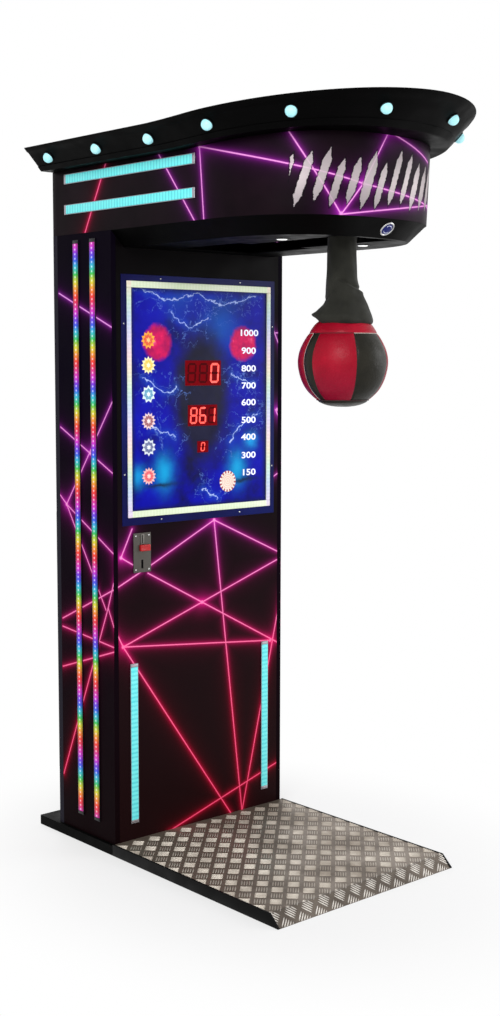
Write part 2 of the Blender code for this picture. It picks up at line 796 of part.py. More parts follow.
def build_crown():
    shares = (0, *COVE_FLAT, 1)
    outside = [crown_loop(share, 0) for share in shares]
    inside = [crown_loop(share, CROWN_WALL) for share in reversed(shares[1:])]
    floor = [point + CROWN_WALL * Z for point in crown_loop(0, CROWN_WALL + 0.002)]
    crown = loft("crown", outside + inside + [floor], "black_moulding", capped=True)
    dome = [
        (BULB_RADIUS * math.sin(turn), 0.004 + BULB_RADIUS * math.cos(turn))
        for turn in (math.radians(angle) for angle in (0, 25, 50, 75))
    ]
    base = BULB_RADIUS + 0.0015
    profile = dome + [(base, 0.003), (base, 0.0008), (BULB_STEM, 0.0008), (BULB_STEM, -0.016), (0, -0.016)]
    for number, frame in enumerate(bulb_frames(), start=1):
        axis = frame.to_3x3() @ Z
        at = frame.translation
        inner, outer = at - 0.03 * axis, at + 0.02 * axis
        hole = cylinder(f"bulb_hole_{number:02d}", BULB_STEM + GAP, inner, outer, sides=12)
        cut(crown, hole)
        turned(f"crown_bulb_{number:02d}", profile, frame, "cyan_lens", steps=12)


# ---------------------------------------------------------------- light strips


def build_strips():
    face, proud = COLUMN_HALF + GAP, COLUMN_HALF + GAP + STRIP_THICK
    half = STRIP_WIDTH / 2
    for side, name in ((-1, "left"), (1, "right")):
        low_x, high_x = sorted((side * face, side * proud))
        for place, middle in zip(("front", "rear"), SIDE_STRIP_Y):
            box(
                f"side_strip_{name}_{place}",
                (low_x, middle - half, SIDE_STRIP_FOOT),
                (high_x, middle + half, COLUMN_TOP - SIDE_STRIP_DROP),
                "rainbow_lens",
                bevel=0.001,
            )
        for place, middle in zip(("lower", "upper"), HEAD_BAR_RISE):
            box(
                f"head_bar_{name}_{place}",
                (low_x, HEAD_BAR_SPAN[0], COLUMN_TOP + middle - half),
                (high_x, HEAD_BAR_SPAN[1], COLUMN_TOP + middle + half),
                "cyan_lens",
                bevel=0.001,
            )
        middle = side * (COLUMN_HALF - FRONT_STRIP_INSET)
        box(
            f"front_strip_{name}",
            (middle - half, -GAP - STRIP_THICK, FRONT_STRIP_FOOT),
            (middle + half, -GAP, COIN_BOTTOM - FRONT_STRIP_DROP),
            "cyan_lens",
            bevel=0.001,
        )


# ---------------------------------------------------------------- punch mechanism


def build_bearings():
    for side, name in ((-1, "left"), (1, "right")):
        middle = side * (BEAM_IN + BEAM_OUT) / 2
        low_x, high_x = middle - 0.016, middle + 0.016
        foot = box(
            f"bearing_{name}",
            (low_x, PIVOT.y - 0.055, BEAM_LOW - GAP - 0.010),
            (high_x, PIVOT.y + 0.055, BEAM_LOW - GAP),
            "zinc",
        )
        housing = cylinder(f"housing_{name}", 0.027, (low_x + 0.001, *PIVOT.yz), (high_x - 0.001, *PIVOT.yz))
        bore_low, bore_high = (low_x - 0.01, *PIVOT.yz), (high_x + 0.01, *PIVOT.yz)
        bore = cylinder(f"bore_{name}", AXLE_RADIUS + GAP, bore_low, bore_high)
        cut(join(foot, housing), bore)


def build_punch_arm():
    reach = BEAM_OUT - 0.002
    axle = cylinder("pivot_axle", AXLE_RADIUS, PIVOT - reach * X, PIVOT + reach * X, "steel")
    disc = cylinder("encoder_disc", DISC_RADIUS, PIVOT + (DISC_X - 0.001) * X, PIVOT + (DISC_X + 0.001) * X)
    join(axle, disc)

    flange_low = BALL_TOP + GAP
    arm = cylinder("swing_arm", HUB_RADIUS, PIVOT - HUB_HALF * X, PIVOT + HUB_HALF * X, "steel")
    lug_turn = Matrix.Rotation(math.radians(90 - SWING_LIMIT), 4, "X")
    lug_middle = PIVOT + lug_turn @ Vector((0, (LUG_REACH + HUB_RADIUS) / 2 - 0.002, 0))
    lug_half = Vector((0.005, (LUG_REACH - HUB_RADIUS) / 2 + 0.002, LUG_WIDTH / 2))
    join(
        arm,
        cylinder("arm_tube", ARM_RADIUS, (*PIVOT.xy, flange_low + 0.001), PIVOT),
        cylinder("arm_flange", ARM_RADIUS + 0.011, (*PIVOT.xy, flange_low), (*PIVOT.xy, flange_low + 0.006)),
        box("catch_lug", lug_middle - lug_half, lug_middle + lug_half, turn=lug_turn),
    )
    cut(arm, cylinder("hub_bore", AXLE_RADIUS + GAP, PIVOT - 0.05 * X, PIVOT + 0.05 * X))

    steps = 14
    flat = math.acos((BALL_TOP - BALL_Z) / BALL_RADIUS)
    angles = [flat + (math.pi - flat) * step / steps for step in range(steps + 1)]
    skin = [(BALL_RADIUS * math.sin(a), BALL_RADIUS * math.cos(a)) for a in angles]
    skin[-1] = (0, -BALL_RADIUS)
    middle = Matrix.Translation((0, PIVOT_Y, BALL_Z))
    ball = turned("ball", [(0, BALL_TOP - BALL_Z)] + skin, middle, "red_leather", steps=28)

    top, waist, hem = PIVOT.z - 0.055, BALL_TOP + 0.108, BALL_TOP - 0.012
    bore = ARM_RADIUS + 0.0005
    sleeve_profile = [
        (bore, top), (SLEEVE_NECK, top), (SLEEVE_NECK, waist), (0.060, waist - 0.045), (SLEEVE_HEM, hem),
        (SLEEVE_HEM - SLEEVE_WALL, hem), (0.048, waist - 0.050), (bore, waist - 0.020), (bore, top),
    ]
    sleeve = turned("ball_sleeve", sleeve_profile, Matrix.Translation((0, PIVOT_Y, 0)), "black_fabric")
    pivoted("punch_arm_pivot", PIVOT, [axle, arm, ball, sleeve])


def build_stop_and_sensor():
    turn = math.radians(SWING_LIMIT)
    stop_y = PIVOT_Y + 0.200
    along = (stop_y - STOP_RADIUS - PIVOT_Y - SLEEVE_NECK * math.cos(turn)) / math.sin(turn)
    rest = PIVOT.z - along * math.cos(turn) + SLEEVE_NECK * math.sin(turn) + 0.002
    cylinder("rubber_stop", STOP_RADIUS, (0, stop_y, rest), (0, stop_y, BEAM_TOP - 0.002 - GAP), "rubber")

    rim = PIVOT.z + DISC_RADIUS
    sensor = box(
        "speed_sensor",
        (DISC_X - 0.012, PIVOT_Y - 0.010, rim - 0.010),
        (DISC_X + 0.012, PIVOT_Y + 0.010, rim + 0.018),
        "black_plastic",
    )
    bracket = box(
        "sensor_bracket",
        (DISC_X + 0.010, PIVOT_Y - 0.008, rim + 0.008),
        (BEAM_IN - GAP, PIVOT_Y + 0.008, rim + 0.016),
    )
    slot = box(
        "sensor_slot",
        (DISC_X - 0.003, PIVOT_Y - 0.02, rim - 0.02),
        (DISC_X + 0.003, PIVOT_Y + 0.02, rim + 0.004),
    )
    cut(join(sensor, bracket), slot)


def hook_outline():
    """The hook's shape about its pin with its tooth dropped behind the upright catch lug."""
    tooth_front = PIVOT_Y + LUG_WIDTH / 2 + TOOTH_PLAY - HOOK.y
    tooth_low = PIVOT.z + LUG_REACH - 0.006 - HOOK.z
    tail_top = TAIL_RISE + 0.006
    heel_and_tail = [(0.008, -0.007), (0.008, 0.005), (0.003, 0.008), (0.003, tail_top)]
    back = [(-0.003, tail_top), (-0.003, 0.008), (-0.030, 0.002), (tooth_front, -0.008)]
    tooth = [(tooth_front, tooth_low), (tooth_front + 0.009, tooth_low), (tooth_front + 0.010, -0.018)]
    return heel_and_tail + back + tooth + [(-0.014, -0.010)]


def build_latch():
    hook = prism("latch_hook", hook_outline(), "X", -HOOK_THICK / 2, HOOK_THICK / 2, "steel")
    raised = Matrix.Translation(HOOK) @ Matrix.Rotation(math.radians(-HOOK_TURN), 4, "X")
    hook.matrix_world = raised @ hook.matrix_world
    pin_half = HOOK_THICK / 2 + 0.005
    join(hook, cylinder("hook_pin", HOOK_PIN, HOOK - pin_half * X, HOOK + pin_half * X, sides=12))
    pivoted("latch_hook_pivot", HOOK, [hook])

    axis_z = HOOK.z + TAIL_RISE
    tail_y = HOOK.y + TAIL_RISE * math.sin(math.radians(HOOK_TURN))
    front, back = HOOK.y + 0.018, HOOK.y + 0.068
    body = box(
        "solenoid_body", (-0.020, front, DECK_PLATE_TOP + GAP), (0.020, back, axis_z + 0.022), "black_plastic"
    )
    bore_front, bore_back = (0, front - 0.01, axis_z), (0, back + 0.01, axis_z)
    cut(body, cylinder("plunger_bore", PLUNGER_RADIUS + GAP, bore_front, bore_back))
    rod_front, rod_back = (0, tail_y + 0.008, axis_z), (0, back - 0.005, axis_z)
    plunger = cylinder("solenoid_plunger", PLUNGER_RADIUS, rod_front, rod_back, "steel", sides=16)
    fork = box(
        "plunger_fork",
        (-0.009, tail_y - 0.009, axis_z - 0.005),
        (0.009, tail_y + 0.010, axis_z + 0.0055),
    )
    gap = HOOK_THICK / 2 + 0.0005
    mouth = box("fork_mouth", (-gap, tail_y - 0.0055, axis_z - 0.02), (gap, tail_y + 0.0055, axis_z + 0.02))
    cut(join(plunger, fork), mouth)
    pivoted("solenoid_plunger_slide", (0, tail_y, axis_z), [plunger])


# ---------------------------------------------------------------- electrics


def inlet_body(room, extra):
    low = (INLET_X - 0.031 - room, COLUMN_DEPTH - 0.035 - extra, INLET_Z - 0.0135 - room)
    high = (INLET_X + 0.031 + room, COLUMN_DEPTH + 0.001 + extra, INLET_Z + 0.0135 + room)
    return low, high


def build_electrics():
    inlet = box("power_inlet", *inlet_body(0, 0), "black_plastic")
    flange = box(
        "inlet_flange",
        (INLET_X - 0.036, COLUMN_DEPTH + GAP, INLET_Z - 0.017),
        (INLET_X + 0.036, COLUMN_DEPTH + 0.0025, INLET_Z + 0.017),
    )
    socket = box(
        "socket_recess",
        (INLET_X - 0.028, COLUMN_DEPTH - 0.018, INLET_Z - 0.0085),
        (INLET_X - 0.001, COLUMN_DEPTH + 0.01, INLET_Z + 0.0085),
    )
    well = box(
        "rocker_well",
        (ROCKER.x - 0.0065, COLUMN_DEPTH - 0.014, INLET_Z - 0.0112),
        (ROCKER.x + 0.0065, COLUMN_DEPTH + 0.01, INLET_Z + 0.0112),
    )
    cut(join(inlet, flange), socket, well)
    tilt = Matrix.Rotation(math.radians(-ROCKER_TILT), 4, "X")
    half = Vector((0.0061, 0.0065, 0.0100))
    rocker = box("power_switch", ROCKER - half, ROCKER + half, "red_plastic", bevel=0.0008, turn=tilt)
    pivoted("power_switch_pivot", ROCKER, [rocker])

    inner = INNER_HALF - GAP
    board = box("control_board", (inner - 0.004, 0.060, 0.800), (inner, 0.240, 1.050), "circuit_green")
    chips = (("relays", 0.070, 0.110, 0.820, 0.880, 0.022), ("driver", 0.130, 0.190, 0.900, 1.020, 0.012))
    for name, front, back, low, high, thick in chips:
        join(board, box(name, (inner - thick, front, low), (inner - 0.002, back, high)))
    box("power_supply", (inner - 0.050, 0.080, 0.450), (inner, 0.200, 0.650), "zinc", bevel=0.0015)


def main():
    start()
    build_platform()
    build_side_panels()
    build_front_panel()
    build_rear()
    build_display()
    build_coin_entry()
    build_coin_path()
    build_steel_frame()
    build_head()
    build_crown()
    build_strips()
    build_bearings()
    build_punch_arm()
    build_stop_and_sensor()
    build_latch()
    build_electrics()


main()
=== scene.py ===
"""Boxing punch machine: the finish of every surface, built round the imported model."""

import bisect
import functools
import math

import bpy
from mathutils import Matrix, Vector


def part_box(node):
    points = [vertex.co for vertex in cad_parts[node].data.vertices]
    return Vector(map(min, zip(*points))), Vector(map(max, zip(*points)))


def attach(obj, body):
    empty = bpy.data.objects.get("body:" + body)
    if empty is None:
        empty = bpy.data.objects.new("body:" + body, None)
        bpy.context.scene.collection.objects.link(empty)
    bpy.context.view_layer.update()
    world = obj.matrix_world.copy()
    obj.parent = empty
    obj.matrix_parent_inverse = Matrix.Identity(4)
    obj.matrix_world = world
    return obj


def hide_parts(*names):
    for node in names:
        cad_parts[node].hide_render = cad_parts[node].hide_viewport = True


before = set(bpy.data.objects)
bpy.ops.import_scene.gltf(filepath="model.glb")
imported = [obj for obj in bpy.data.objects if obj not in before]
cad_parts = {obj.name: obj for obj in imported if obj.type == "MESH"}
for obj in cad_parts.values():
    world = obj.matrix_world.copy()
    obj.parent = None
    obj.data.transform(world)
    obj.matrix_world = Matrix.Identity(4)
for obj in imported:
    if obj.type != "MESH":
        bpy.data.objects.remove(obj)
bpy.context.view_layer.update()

bpy.ops.object.select_all(action="DESELECT")

# ---------------------------------------------------------------- sizes taken from the frame
SIDE_LOW, SIDE_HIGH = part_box("side_panel_left")
HALF = -SIDE_LOW[0]
DEPTH = SIDE_HIGH[1]
COLUMN_TOP = SIDE_HIGH[2]
DISPLAY_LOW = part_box("display_panel")[0]
COIN_LOW, COIN_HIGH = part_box("coin_faceplate")
BALL_LOW, BALL_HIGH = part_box("ball")
TREAD_LOW, TREAD_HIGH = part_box("tread_plate")

# The head and the crown repeat the plans that part.py lofts them from, in metres.
RISE_START = 0.300
HEAD_TOP = 2.174
HEAD_WALL = 0.006
HEAD_RISE = 0.065
CHAMFER = 0.050
UNDERSIDE_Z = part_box("head_underside")[0][2]
CROWN_FOOT = 2.1743
CROWN_TALL = 0.068
CROWN_WALL = 0.008
CROWN_COVE = 0.003
FRONT_START = DEPTH + HALF  # where x = 0 on the front lies, going round from the rear left corner

# ---------------------------------------------------------------- working with pieces


def take(piece):
    """Makes the piece the only one selected."""
    bpy.ops.object.select_all(action="DESELECT")
    piece.select_set(True)
    bpy.context.view_layer.objects.active = piece


def new(name):
    """Names the object that was just added, with its place and size put in its mesh."""
    piece = bpy.context.object
    piece.name = name
    take(piece)
    bpy.ops.object.transform_apply(location=True, rotation=True, scale=True)
    return piece


def modified(piece, kind, **settings):
    """Adds a modifier."""
    modifier = piece.modifiers.new(kind.title(), kind)
    for key, value in settings.items():
        setattr(modifier, key, value)
    return modifier


def shape(piece, kind, **settings):
    """Adds a modifier and applies it."""
    modifier = modified(piece, kind, **settings)
    take(piece)
    bpy.ops.object.modifier_apply(modifier=modifier.name)
    return piece


def repeated(piece, count, step):
    """A row of the piece, a step apart, in one mesh."""
    return shape(piece, "ARRAY", count=count, use_relative_offset=False, use_constant_offset=True,
                 constant_offset_displace=step)


def cut(piece, *cutters):
    """Takes the cutters out of the piece, one after another, and removes them."""
    for cutter in cutters:
        shape(piece, "BOOLEAN", object=cutter, operation="DIFFERENCE", solver="EXACT")
        bpy.data.objects.remove(cutter)
    return piece


def rounded(piece, width, segments=2, angle=35):
    return shape(piece, "BEVEL", width=width, segments=segments, limit_method="ANGLE",
                 angle_limit=math.radians(angle))


def pick_all(piece, action="SELECT"):
    """Enters edit mode with the whole piece selected, or none of it."""
    take(piece)
    bpy.ops.object.mode_set(mode="EDIT")
    bpy.ops.mesh.select_mode(type="FACE")
    bpy.ops.mesh.select_all(action=action)


def pick(piece, faces):
    """Enters edit mode with the faces for which `faces(face)` is true selected."""
    pick_all(piece, "DESELECT")
    done()
    for face in piece.data.polygons:
        face.select = bool(faces(face))
    bpy.ops.object.mode_set(mode="EDIT")


def done():
    bpy.ops.object.mode_set(mode="OBJECT")


def merged(piece, outwards=True):
    """Welds the piece's doubles and turns its faces outwards."""
    pick_all(piece)
    bpy.ops.mesh.remove_doubles(threshold=0.00002)
    if outwards:
        bpy.ops.mesh.normals_make_consistent(inside=False)
    done()
    return piece


def joined(name, pieces):
    """Joins the pieces into the first one."""
    take(pieces[0])
    for piece in pieces[1:]:
        piece.select_set(True)
    bpy.ops.object.join()
    pieces[0].name = name
    return pieces[0]


def placed(piece, turn=None, move=(0, 0, 0)):
    """Turns the piece about the origin and then moves it."""
    piece.data.transform(Matrix.Translation(Vector(move)) @ (turn or Matrix.Identity(4)))
    return piece


def copied(piece, name, turn=None, move=(0, 0, 0)):
    """A copy with a mesh of its own, put in its place."""
    copy = piece.copy()
    copy.data = piece.data.copy()
    copy.name = name
    bpy.context.scene.collection.objects.link(copy)
    return placed(copy, turn, move)


def settle(piece, finish, body="cabinet", stands_for=(), smooth=35):
    """Gives a finished piece its material and the body that it rides on, and hides the CAD nodes that it stands for.
    """
    take(piece)
    bpy.ops.object.shade_smooth_by_angle(angle=math.radians(smooth))
    if finish:
        piece.data.materials.clear()
        piece.data.materials.append(finish.material)
    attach(piece, body)
    if stands_for:
        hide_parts(*stands_for)
    return piece


def block(name, low, high, edge=0.0, segments=2):
    """A box between two corners, its edges rounded."""
    low, high = Vector(low), Vector(high)
    bpy.ops.mesh.primitive_cube_add(size=1, location=(low + high) / 2, scale=high - low)
    piece = new(name)
    return rounded(piece, edge, segments) if edge else piece


def skin(name, stations, rows, place):
    """A grid whose corner at (station, row) lies at `place(station, row)`, which may add a place on the UV map."""
    columns, lines = len(stations) - 1, len(rows) - 1
    bpy.ops.mesh.primitive_grid_add(x_subdivisions=columns, y_subdivisions=lines, size=1, calc_uvs=True)
    piece = new(name)
    marks = []
    for vertex in piece.data.vertices:
        i = round((vertex.co.x + 0.5) * columns)
        j = round((vertex.co.y + 0.5) * lines)
        spot = place(stations[i], rows[j])
        mark = (stations[i], j / lines)
        if isinstance(spot, tuple):
            spot, mark = spot
        vertex.co = spot
        marks.append(mark)
    layer = piece.data.uv_layers.active.data
    for loop in piece.data.loops:
        layer[loop.index].uv = marks[loop.vertex_index]
    return piece


def turned(name, profile, sides=32):
    """A profile of (radius, height) turned about Z, from its lower end to its upper one outside."""
    angles = [2 * math.pi * i / sides for i in range(sides + 1)]

    def place(angle, row):
        radius, height = row
        return Vector((radius * math.cos(angle), radius * math.sin(angle), height)), (angle, height)

    return merged(skin(name, angles, profile, place))


def even(count):
    return [i / count for i in range(count + 1)]


def lerp(a, b, share):
    return a + (b - a) * share


def smooth_step(value, low, high):
    share = min(1.0, max(0.0, (value - low) / (high - low)))
    return share * share * (3 - 2 * share)


def centre_of(node):
    low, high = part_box(node)
    return (low + high) / 2


def aimed(facing):
    """The turn that points +Z this way."""
    return facing.to_track_quat("Z", "Y").to_matrix().to_4x4()


# ---------------------------------------------------------------- finishes


def tint(code):
    """The linear colour of a six-digit screen colour."""
    parts = [int(code[i:i + 2], 16) / 255 for i in (0, 2, 4)]
    return (*[p / 12.92 if p <= 0.04045 else ((p + 0.055) / 1.055) ** 2.4 for p in parts], 1.0)


class Value:
    """A socket in a node tree. Arithmetic on it adds the nodes that work it out."""

    def __init__(self, nodes, socket):
        self.nodes, self.socket = nodes, socket

    def __abs__(self):
        return self.nodes.math("ABSOLUTE", self)


def worked_out(kind, swapped=False):
    """A function that adds a Math node of this kind to the tree of its first value."""
    if swapped:
        return lambda value, other: value.nodes.math(kind, other, value)
    return lambda value, *others: value.nodes.math(kind, value, *others)


for sign, operation in (("add", "ADD"), ("sub", "SUBTRACT"), ("mul", "MULTIPLY"), ("truediv", "DIVIDE")):
    setattr(Value, f"__{sign}__", worked_out(operation))
    setattr(Value, f"__r{sign}__", worked_out(operation, swapped=True))
Value.__gt__, Value.__lt__, Value.__pow__ = map(worked_out, ("GREATER_THAN", "LESS_THAN", "POWER"))
least, most, fraction, whole = map(worked_out, ("MINIMUM", "MAXIMUM", "FRACT", "FLOOR"))
sine, exponent, bearing = map(worked_out, ("SINE", "EXPONENT", "ARCTAN2"))


class Nodes:
    """Short calls that add nodes to a tree. Each takes values, numbers and colours alike."""

    def __init__(self, tree):
        self.tree = tree

    def put(self, socket, value):
        if isinstance(value, Value):
            self.tree.links.new(value.socket, socket)
        elif value is not None:
            socket.default_value = value

    def node(self, kind, *values, out=0, named=(), **settings):
        """Adds a node, fills its inputs in their order and by name, and gives one of its outputs."""
        made = self.tree.nodes.new("ShaderNode" + kind)
        for key, value in settings.items():
            setattr(made, key, value)
        for socket, value in zip(made.inputs, values):
            self.put(socket, value)
        for key, value in dict(named).items():
            self.put(made.inputs[key], value)
        return Value(self, made.outputs[out])

    def math(self, kind, *values, clamp=False):
        return self.node("Math", *values, operation=kind, use_clamp=clamp)

    def vector(self, kind, *values):
        out = "Value" if kind in ("DOT_PRODUCT", "LENGTH", "DISTANCE") else "Vector"
        return self.node("VectorMath", *values, out=out, operation=kind)

    def away(self, point, spot, stretch):
        """The distance from a spot, with each direction stretched."""
        return self.vector("LENGTH", self.vector("MULTIPLY", self.vector("SUBTRACT", point, spot), stretch))

    def split(self, vector):
        outputs = self.node("SeparateXYZ", vector).socket.node.outputs
        return [Value(self, output) for output in outputs]

    def combine(self, x=0.0, y=0.0, z=0.0):
        return self.node("CombineXYZ", x, y, z)

    def mix(self, share, a, b):
        a, b = (tint(color) if isinstance(color, str) else color for color in (a, b))
        return self.node("Mix", named={0: share, 6: a, 7: b}, out=2, data_type="RGBA")

    def ramp(self, value, stops):
        color = self.node("ValToRGB", value)
        elements = color.socket.node.color_ramp.elements
        while len(elements) < len(stops):
            elements.new(0.5)
        for element, (place, code) in zip(elements, stops):
            element.position, element.color = place, tint(code)
        return color

    def step(self, value, low, high, to=(0.0, 1.0)):
        return self.node("MapRange", value, low, high, *to, interpolation_type="SMOOTHSTEP")


class Finish(Nodes):
    """A material with one Principled shader."""

    NAMES = {"color": "Base Color", "rough": "Roughness", "metal": "Metallic", "specular": "Specular IOR Level",
             "glow": "Emission Color", "glow_strength": "Emission Strength", "normal": "Normal",
             "sheen": "Sheen Weight", "sheen_rough": "Sheen Roughness"}

    def __init__(self, name, color, rough=0.5, metal=0.0, specular=0.5):
        self.material = bpy.data.materials.new(name)
        self.material.use_nodes = True
        super().__init__(self.material.node_tree)
        self.shader = self.tree.nodes["Principled BSDF"]
        self.set(color=tint(color), rough=rough, metal=metal, specular=specular)
        places = self.tree.nodes.new("ShaderNodeTexCoord").outputs
        self.object, self.uv = Value(self, places["Object"]), Value(self, places["UV"])

    def set(self, **values):
        for key, value in values.items():
            self.put(self.shader.inputs[self.NAMES[key]], value)
        return self

    def noise(self, scale, at=None, detail=3.0, rough=0.5, out=0):
        return self.node("TexNoise", out=out, named={"Vector": at or self.object, "Scale": scale, "Detail": detail,
                                                     "Roughness": rough})

    def cells(self, scale):
        return self.node("TexVoronoi", out="Distance", named={"Vector": self.object, "Scale": scale})

    def bump(self, height, distance, strength, under=None):
        return self.node("Bump", named={"Strength": strength, "Distance": distance, "Height": height, "Normal": under})

    def uneven(self, low, high, scale, **how):
        """Roughness that wanders between two values."""
        return self.set(rough=self.step(self.noise(scale, **how), 0.3, 0.7, (low, high)))

    def lit(self, tone, strength, height, distance, bumpy):
        """A surface that gives off its own colour."""
        return self.set(color=tone, glow=tone, glow_strength=strength, normal=self.bump(height, distance, bumpy))


def beam_group():
    """The distance from a point to a straight stretch, as a group of nodes."""
    group = bpy.data.node_groups.new("beam_distance", "ShaderNodeTree")
    names = ("Point", "Start", "Along", "Back")
    for name in names:
        group.interface.new_socket(name, in_out="INPUT", socket_type="NodeSocketVector")
    group.interface.new_socket("Distance", in_out="OUTPUT", socket_type="NodeSocketFloat")
    nodes = Nodes(group)
    entry, leave = group.nodes.new("NodeGroupInput"), group.nodes.new("NodeGroupOutput")
    point, start, along, back = (Value(nodes, entry.outputs[name]) for name in names)
    offset = nodes.vector("SUBTRACT", point, start)
    walked = nodes.math("ADD", nodes.vector("DOT_PRODUCT", offset, along), 0.0, clamp=True)
    nearest = nodes.vector("MULTIPLY_ADD", walked, back, offset)
    nodes.put(leave.inputs["Distance"], nodes.vector("LENGTH", nearest))
    return group


BEAM = beam_group()


def nearest_beam(finish, point, walks):
    """The distance from the point to the nearest of the walks, each from spot to spot."""

    def away(start, end):
        start, end = Vector((*start, 0.0)), Vector((*end, 0.0))
        reach = end - start
        return finish.node("Group", node_tree=BEAM, out="Distance", named={
            "Point": point, "Start": start, "Along": reach / reach.length_squared, "Back": -reach})

    return functools.reduce(least, (away(a, b) for walk in walks for a, b in zip(walk, walk[1:])))


def nearest_star(finish, point, stars):
    return functools.reduce(least, (finish.vector("DISTANCE", point, (*star, 0.0)) for star in stars))


def fading(distance, reach):
    """1 at no distance, dying away over `reach`."""
    return exponent(distance * (-1.0 / reach))


# The beams printed on the vinyl, as walks from spot to spot, in metres: how far round, and how high.
SIDE_BEAMS = [[(0.03, 1.79), (0.36, 1.66)], [(0.03, 1.36), (0.35, 1.21)], [(0.34, 1.48), (0.06, 1.11)],
              [(0.02, 1.14), (0.06, 1.11), (0.274, 0.79)], [(0.06, 1.11), (0.345, 0.958)],
              [(0.03, 0.73), (0.46, 0.924)], [(0.345, 0.958), (0.286, 0.798), (0.026, 0.204)],
              [(0.286, 0.798), (0.351, 0.672)], [(0.03, 0.703), (0.351, 0.672)],
              [(0.028, 0.568), (0.351, 0.672)]]
FRONT_BEAMS = [[(0.351, 0.672), (0.675, 0.78), (1.03, 0.898)], [(0.451, 0.899), (0.675, 0.78), (1.03, 0.592)],
               [(0.351, 0.672), (0.98, 0.612)], [(0.351, 0.672), (0.802, 0.033)],
               [(0.351, 0.672), (0.286, 0.798)], [(0.727, 1.05), (1.03, 0.912)],
               [(0.727, 1.05), (0.464, 0.924), (0.03, 0.73)], [(0.727, 1.05), (0.852, 0.03)],
               [(1.03, 0.775), (0.852, 0.03)], [(0.533, 0.03), (1.03, 0.177)],
               [(0.389, 1.046), (0.345, 0.958), (0.392, 0.931)], [(1.03, 1.67), (1.0, 1.67)],
               [(1.03, 1.6), (0.99, 1.68)], [(1.03, 1.36), (1.0, 1.41)], [(1.03, 1.2), (0.99, 1.18)]]
BEAM_STARS = [(0.351, 0.672), (0.345, 0.958), (0.727, 1.05), (0.675, 0.78), (0.98, 0.612), (0.06, 1.11),
              (0.195, 1.283), (1.008, 1.41)]
HEAD_BEAMS = [[(0.294, 0.21), (0.173, -0.01)], [(0.544, 0.21), (0.728, -0.01)],
              [(0.737, 0.203), (0.763, -0.01)],
              [(0.737, 0.203), (1.065, 0.129), (1.26, 0.088), (1.62, 0.047)],
              [(1.035, 0.225), (1.193, 0.002), (1.26, 0.088), (1.345, 0.235), (1.563, 0.174)],
              [(1.193, 0.002), (1.6, 0.057)], [(1.98, 0.21), (1.75, -0.01)], [(2.26, 0.21), (2.42, -0.01)]]
HEAD_STARS = [(0.737, 0.203), (1.26, 0.088), (1.193, 0.004), (1.345, 0.232)]
# The silver shards across the nose: where they start and end along the wall, their pitch and their lean.
SHARDS_FROM, SHARDS_TO, SHARD_PITCH, SHARD_LEAN = 1.045, 1.600, 0.049, 0.30
PRINT_TALL = 2.2  # the height over which the print's colours change


def laser_print(finish, point, height, beams, stars, ground, shown):
    """Near-black vinyl printed with glowing beams, which are also given a painted glow of their own. `shown` is 1 on
    the printed side.
    """
    along = nearest_beam(finish, point, beams)
    star = nearest_star(finish, point, stars)
    core = finish.step(along, 0.0008, 0.0030, (0.9, 0.0))
    burst = finish.step(star, 0.002, 0.0085, (1.0, 0.0))
    halo, flare, haze = fading(along, 0.0060) * 0.72, fading(star, 0.017) * 0.9, fading(along, 0.026) * 0.06
    glow = finish.math("ADD", halo + flare, haze, clamp=True)
    white = most(core, burst)
    hue = finish.ramp(height, [(0.0, "D80A38"), (0.20, "DC1048"), (0.33, "D01870"), (0.46, "B81E98"),
                               (0.58, "A022A4"), (1.0, "8A28A8")])
    bright = finish.ramp(height, [(0.0, "FF4E78"), (0.25, "FF6A98"), (0.42, "F48CCC"), (1.0, "E0A0F0")])
    lit = finish.mix(shown, ground, finish.mix(white, finish.mix(glow, ground, hue), bright))
    # Painted glow: the printed beams and their halos give off light of their own, though the vinyl is no lamp.
    finish.set(color=lit, glow=lit, glow_strength=shown * (most(glow, white) * 0.22))
    return lit


def vinyl_surface(finish):
    """The faint orange peel and handling marks of wrapped vinyl."""
    finish.set(normal=finish.bump(finish.noise(420, detail=2), 0.00006, 0.5))
    return finish.uneven(0.34, 0.50, 9, detail=4)


def column_vinyl():
    """The side panels: the print wraps from the side round onto the front."""
    finish = Finish("column_side_vinyl", "100a1c", specular=0.01)
    x, y, z = finish.split(finish.object)
    round_it, outside, high = DEPTH - y, abs(x) > HALF - 0.0006, z / PRINT_TALL
    printed = finish.step(round_it, 0.0225, 0.0235)
    ground = finish.ramp(high, [(0.0, "120709"), (0.35, "10060f"), (0.7, "090412"), (1.0, "0c0710")])
    ground = finish.mix(outside * (1.0 - printed), ground, "2a2830")
    laser_print(finish, finish.combine(round_it, z), high, SIDE_BEAMS, BEAM_STARS, ground, outside * printed)
    return vinyl_surface(finish)


def front_vinyl():
    finish = Finish("column_front_vinyl", "1a0d12", specular=0.03)
    x, y, z = finish.split(finish.object)
    high = z / PRINT_TALL
    ground = finish.ramp(high, [(0.0, "1d0b0c"), (0.3, "190a0e"), (0.46, "11070b"), (0.6, "090507"), (1.0, "060506")])
    laser_print(finish, finish.combine(x + FRONT_START, z), high, FRONT_BEAMS, BEAM_STARS, ground, y < 0.0006)
    return vinyl_surface(finish)


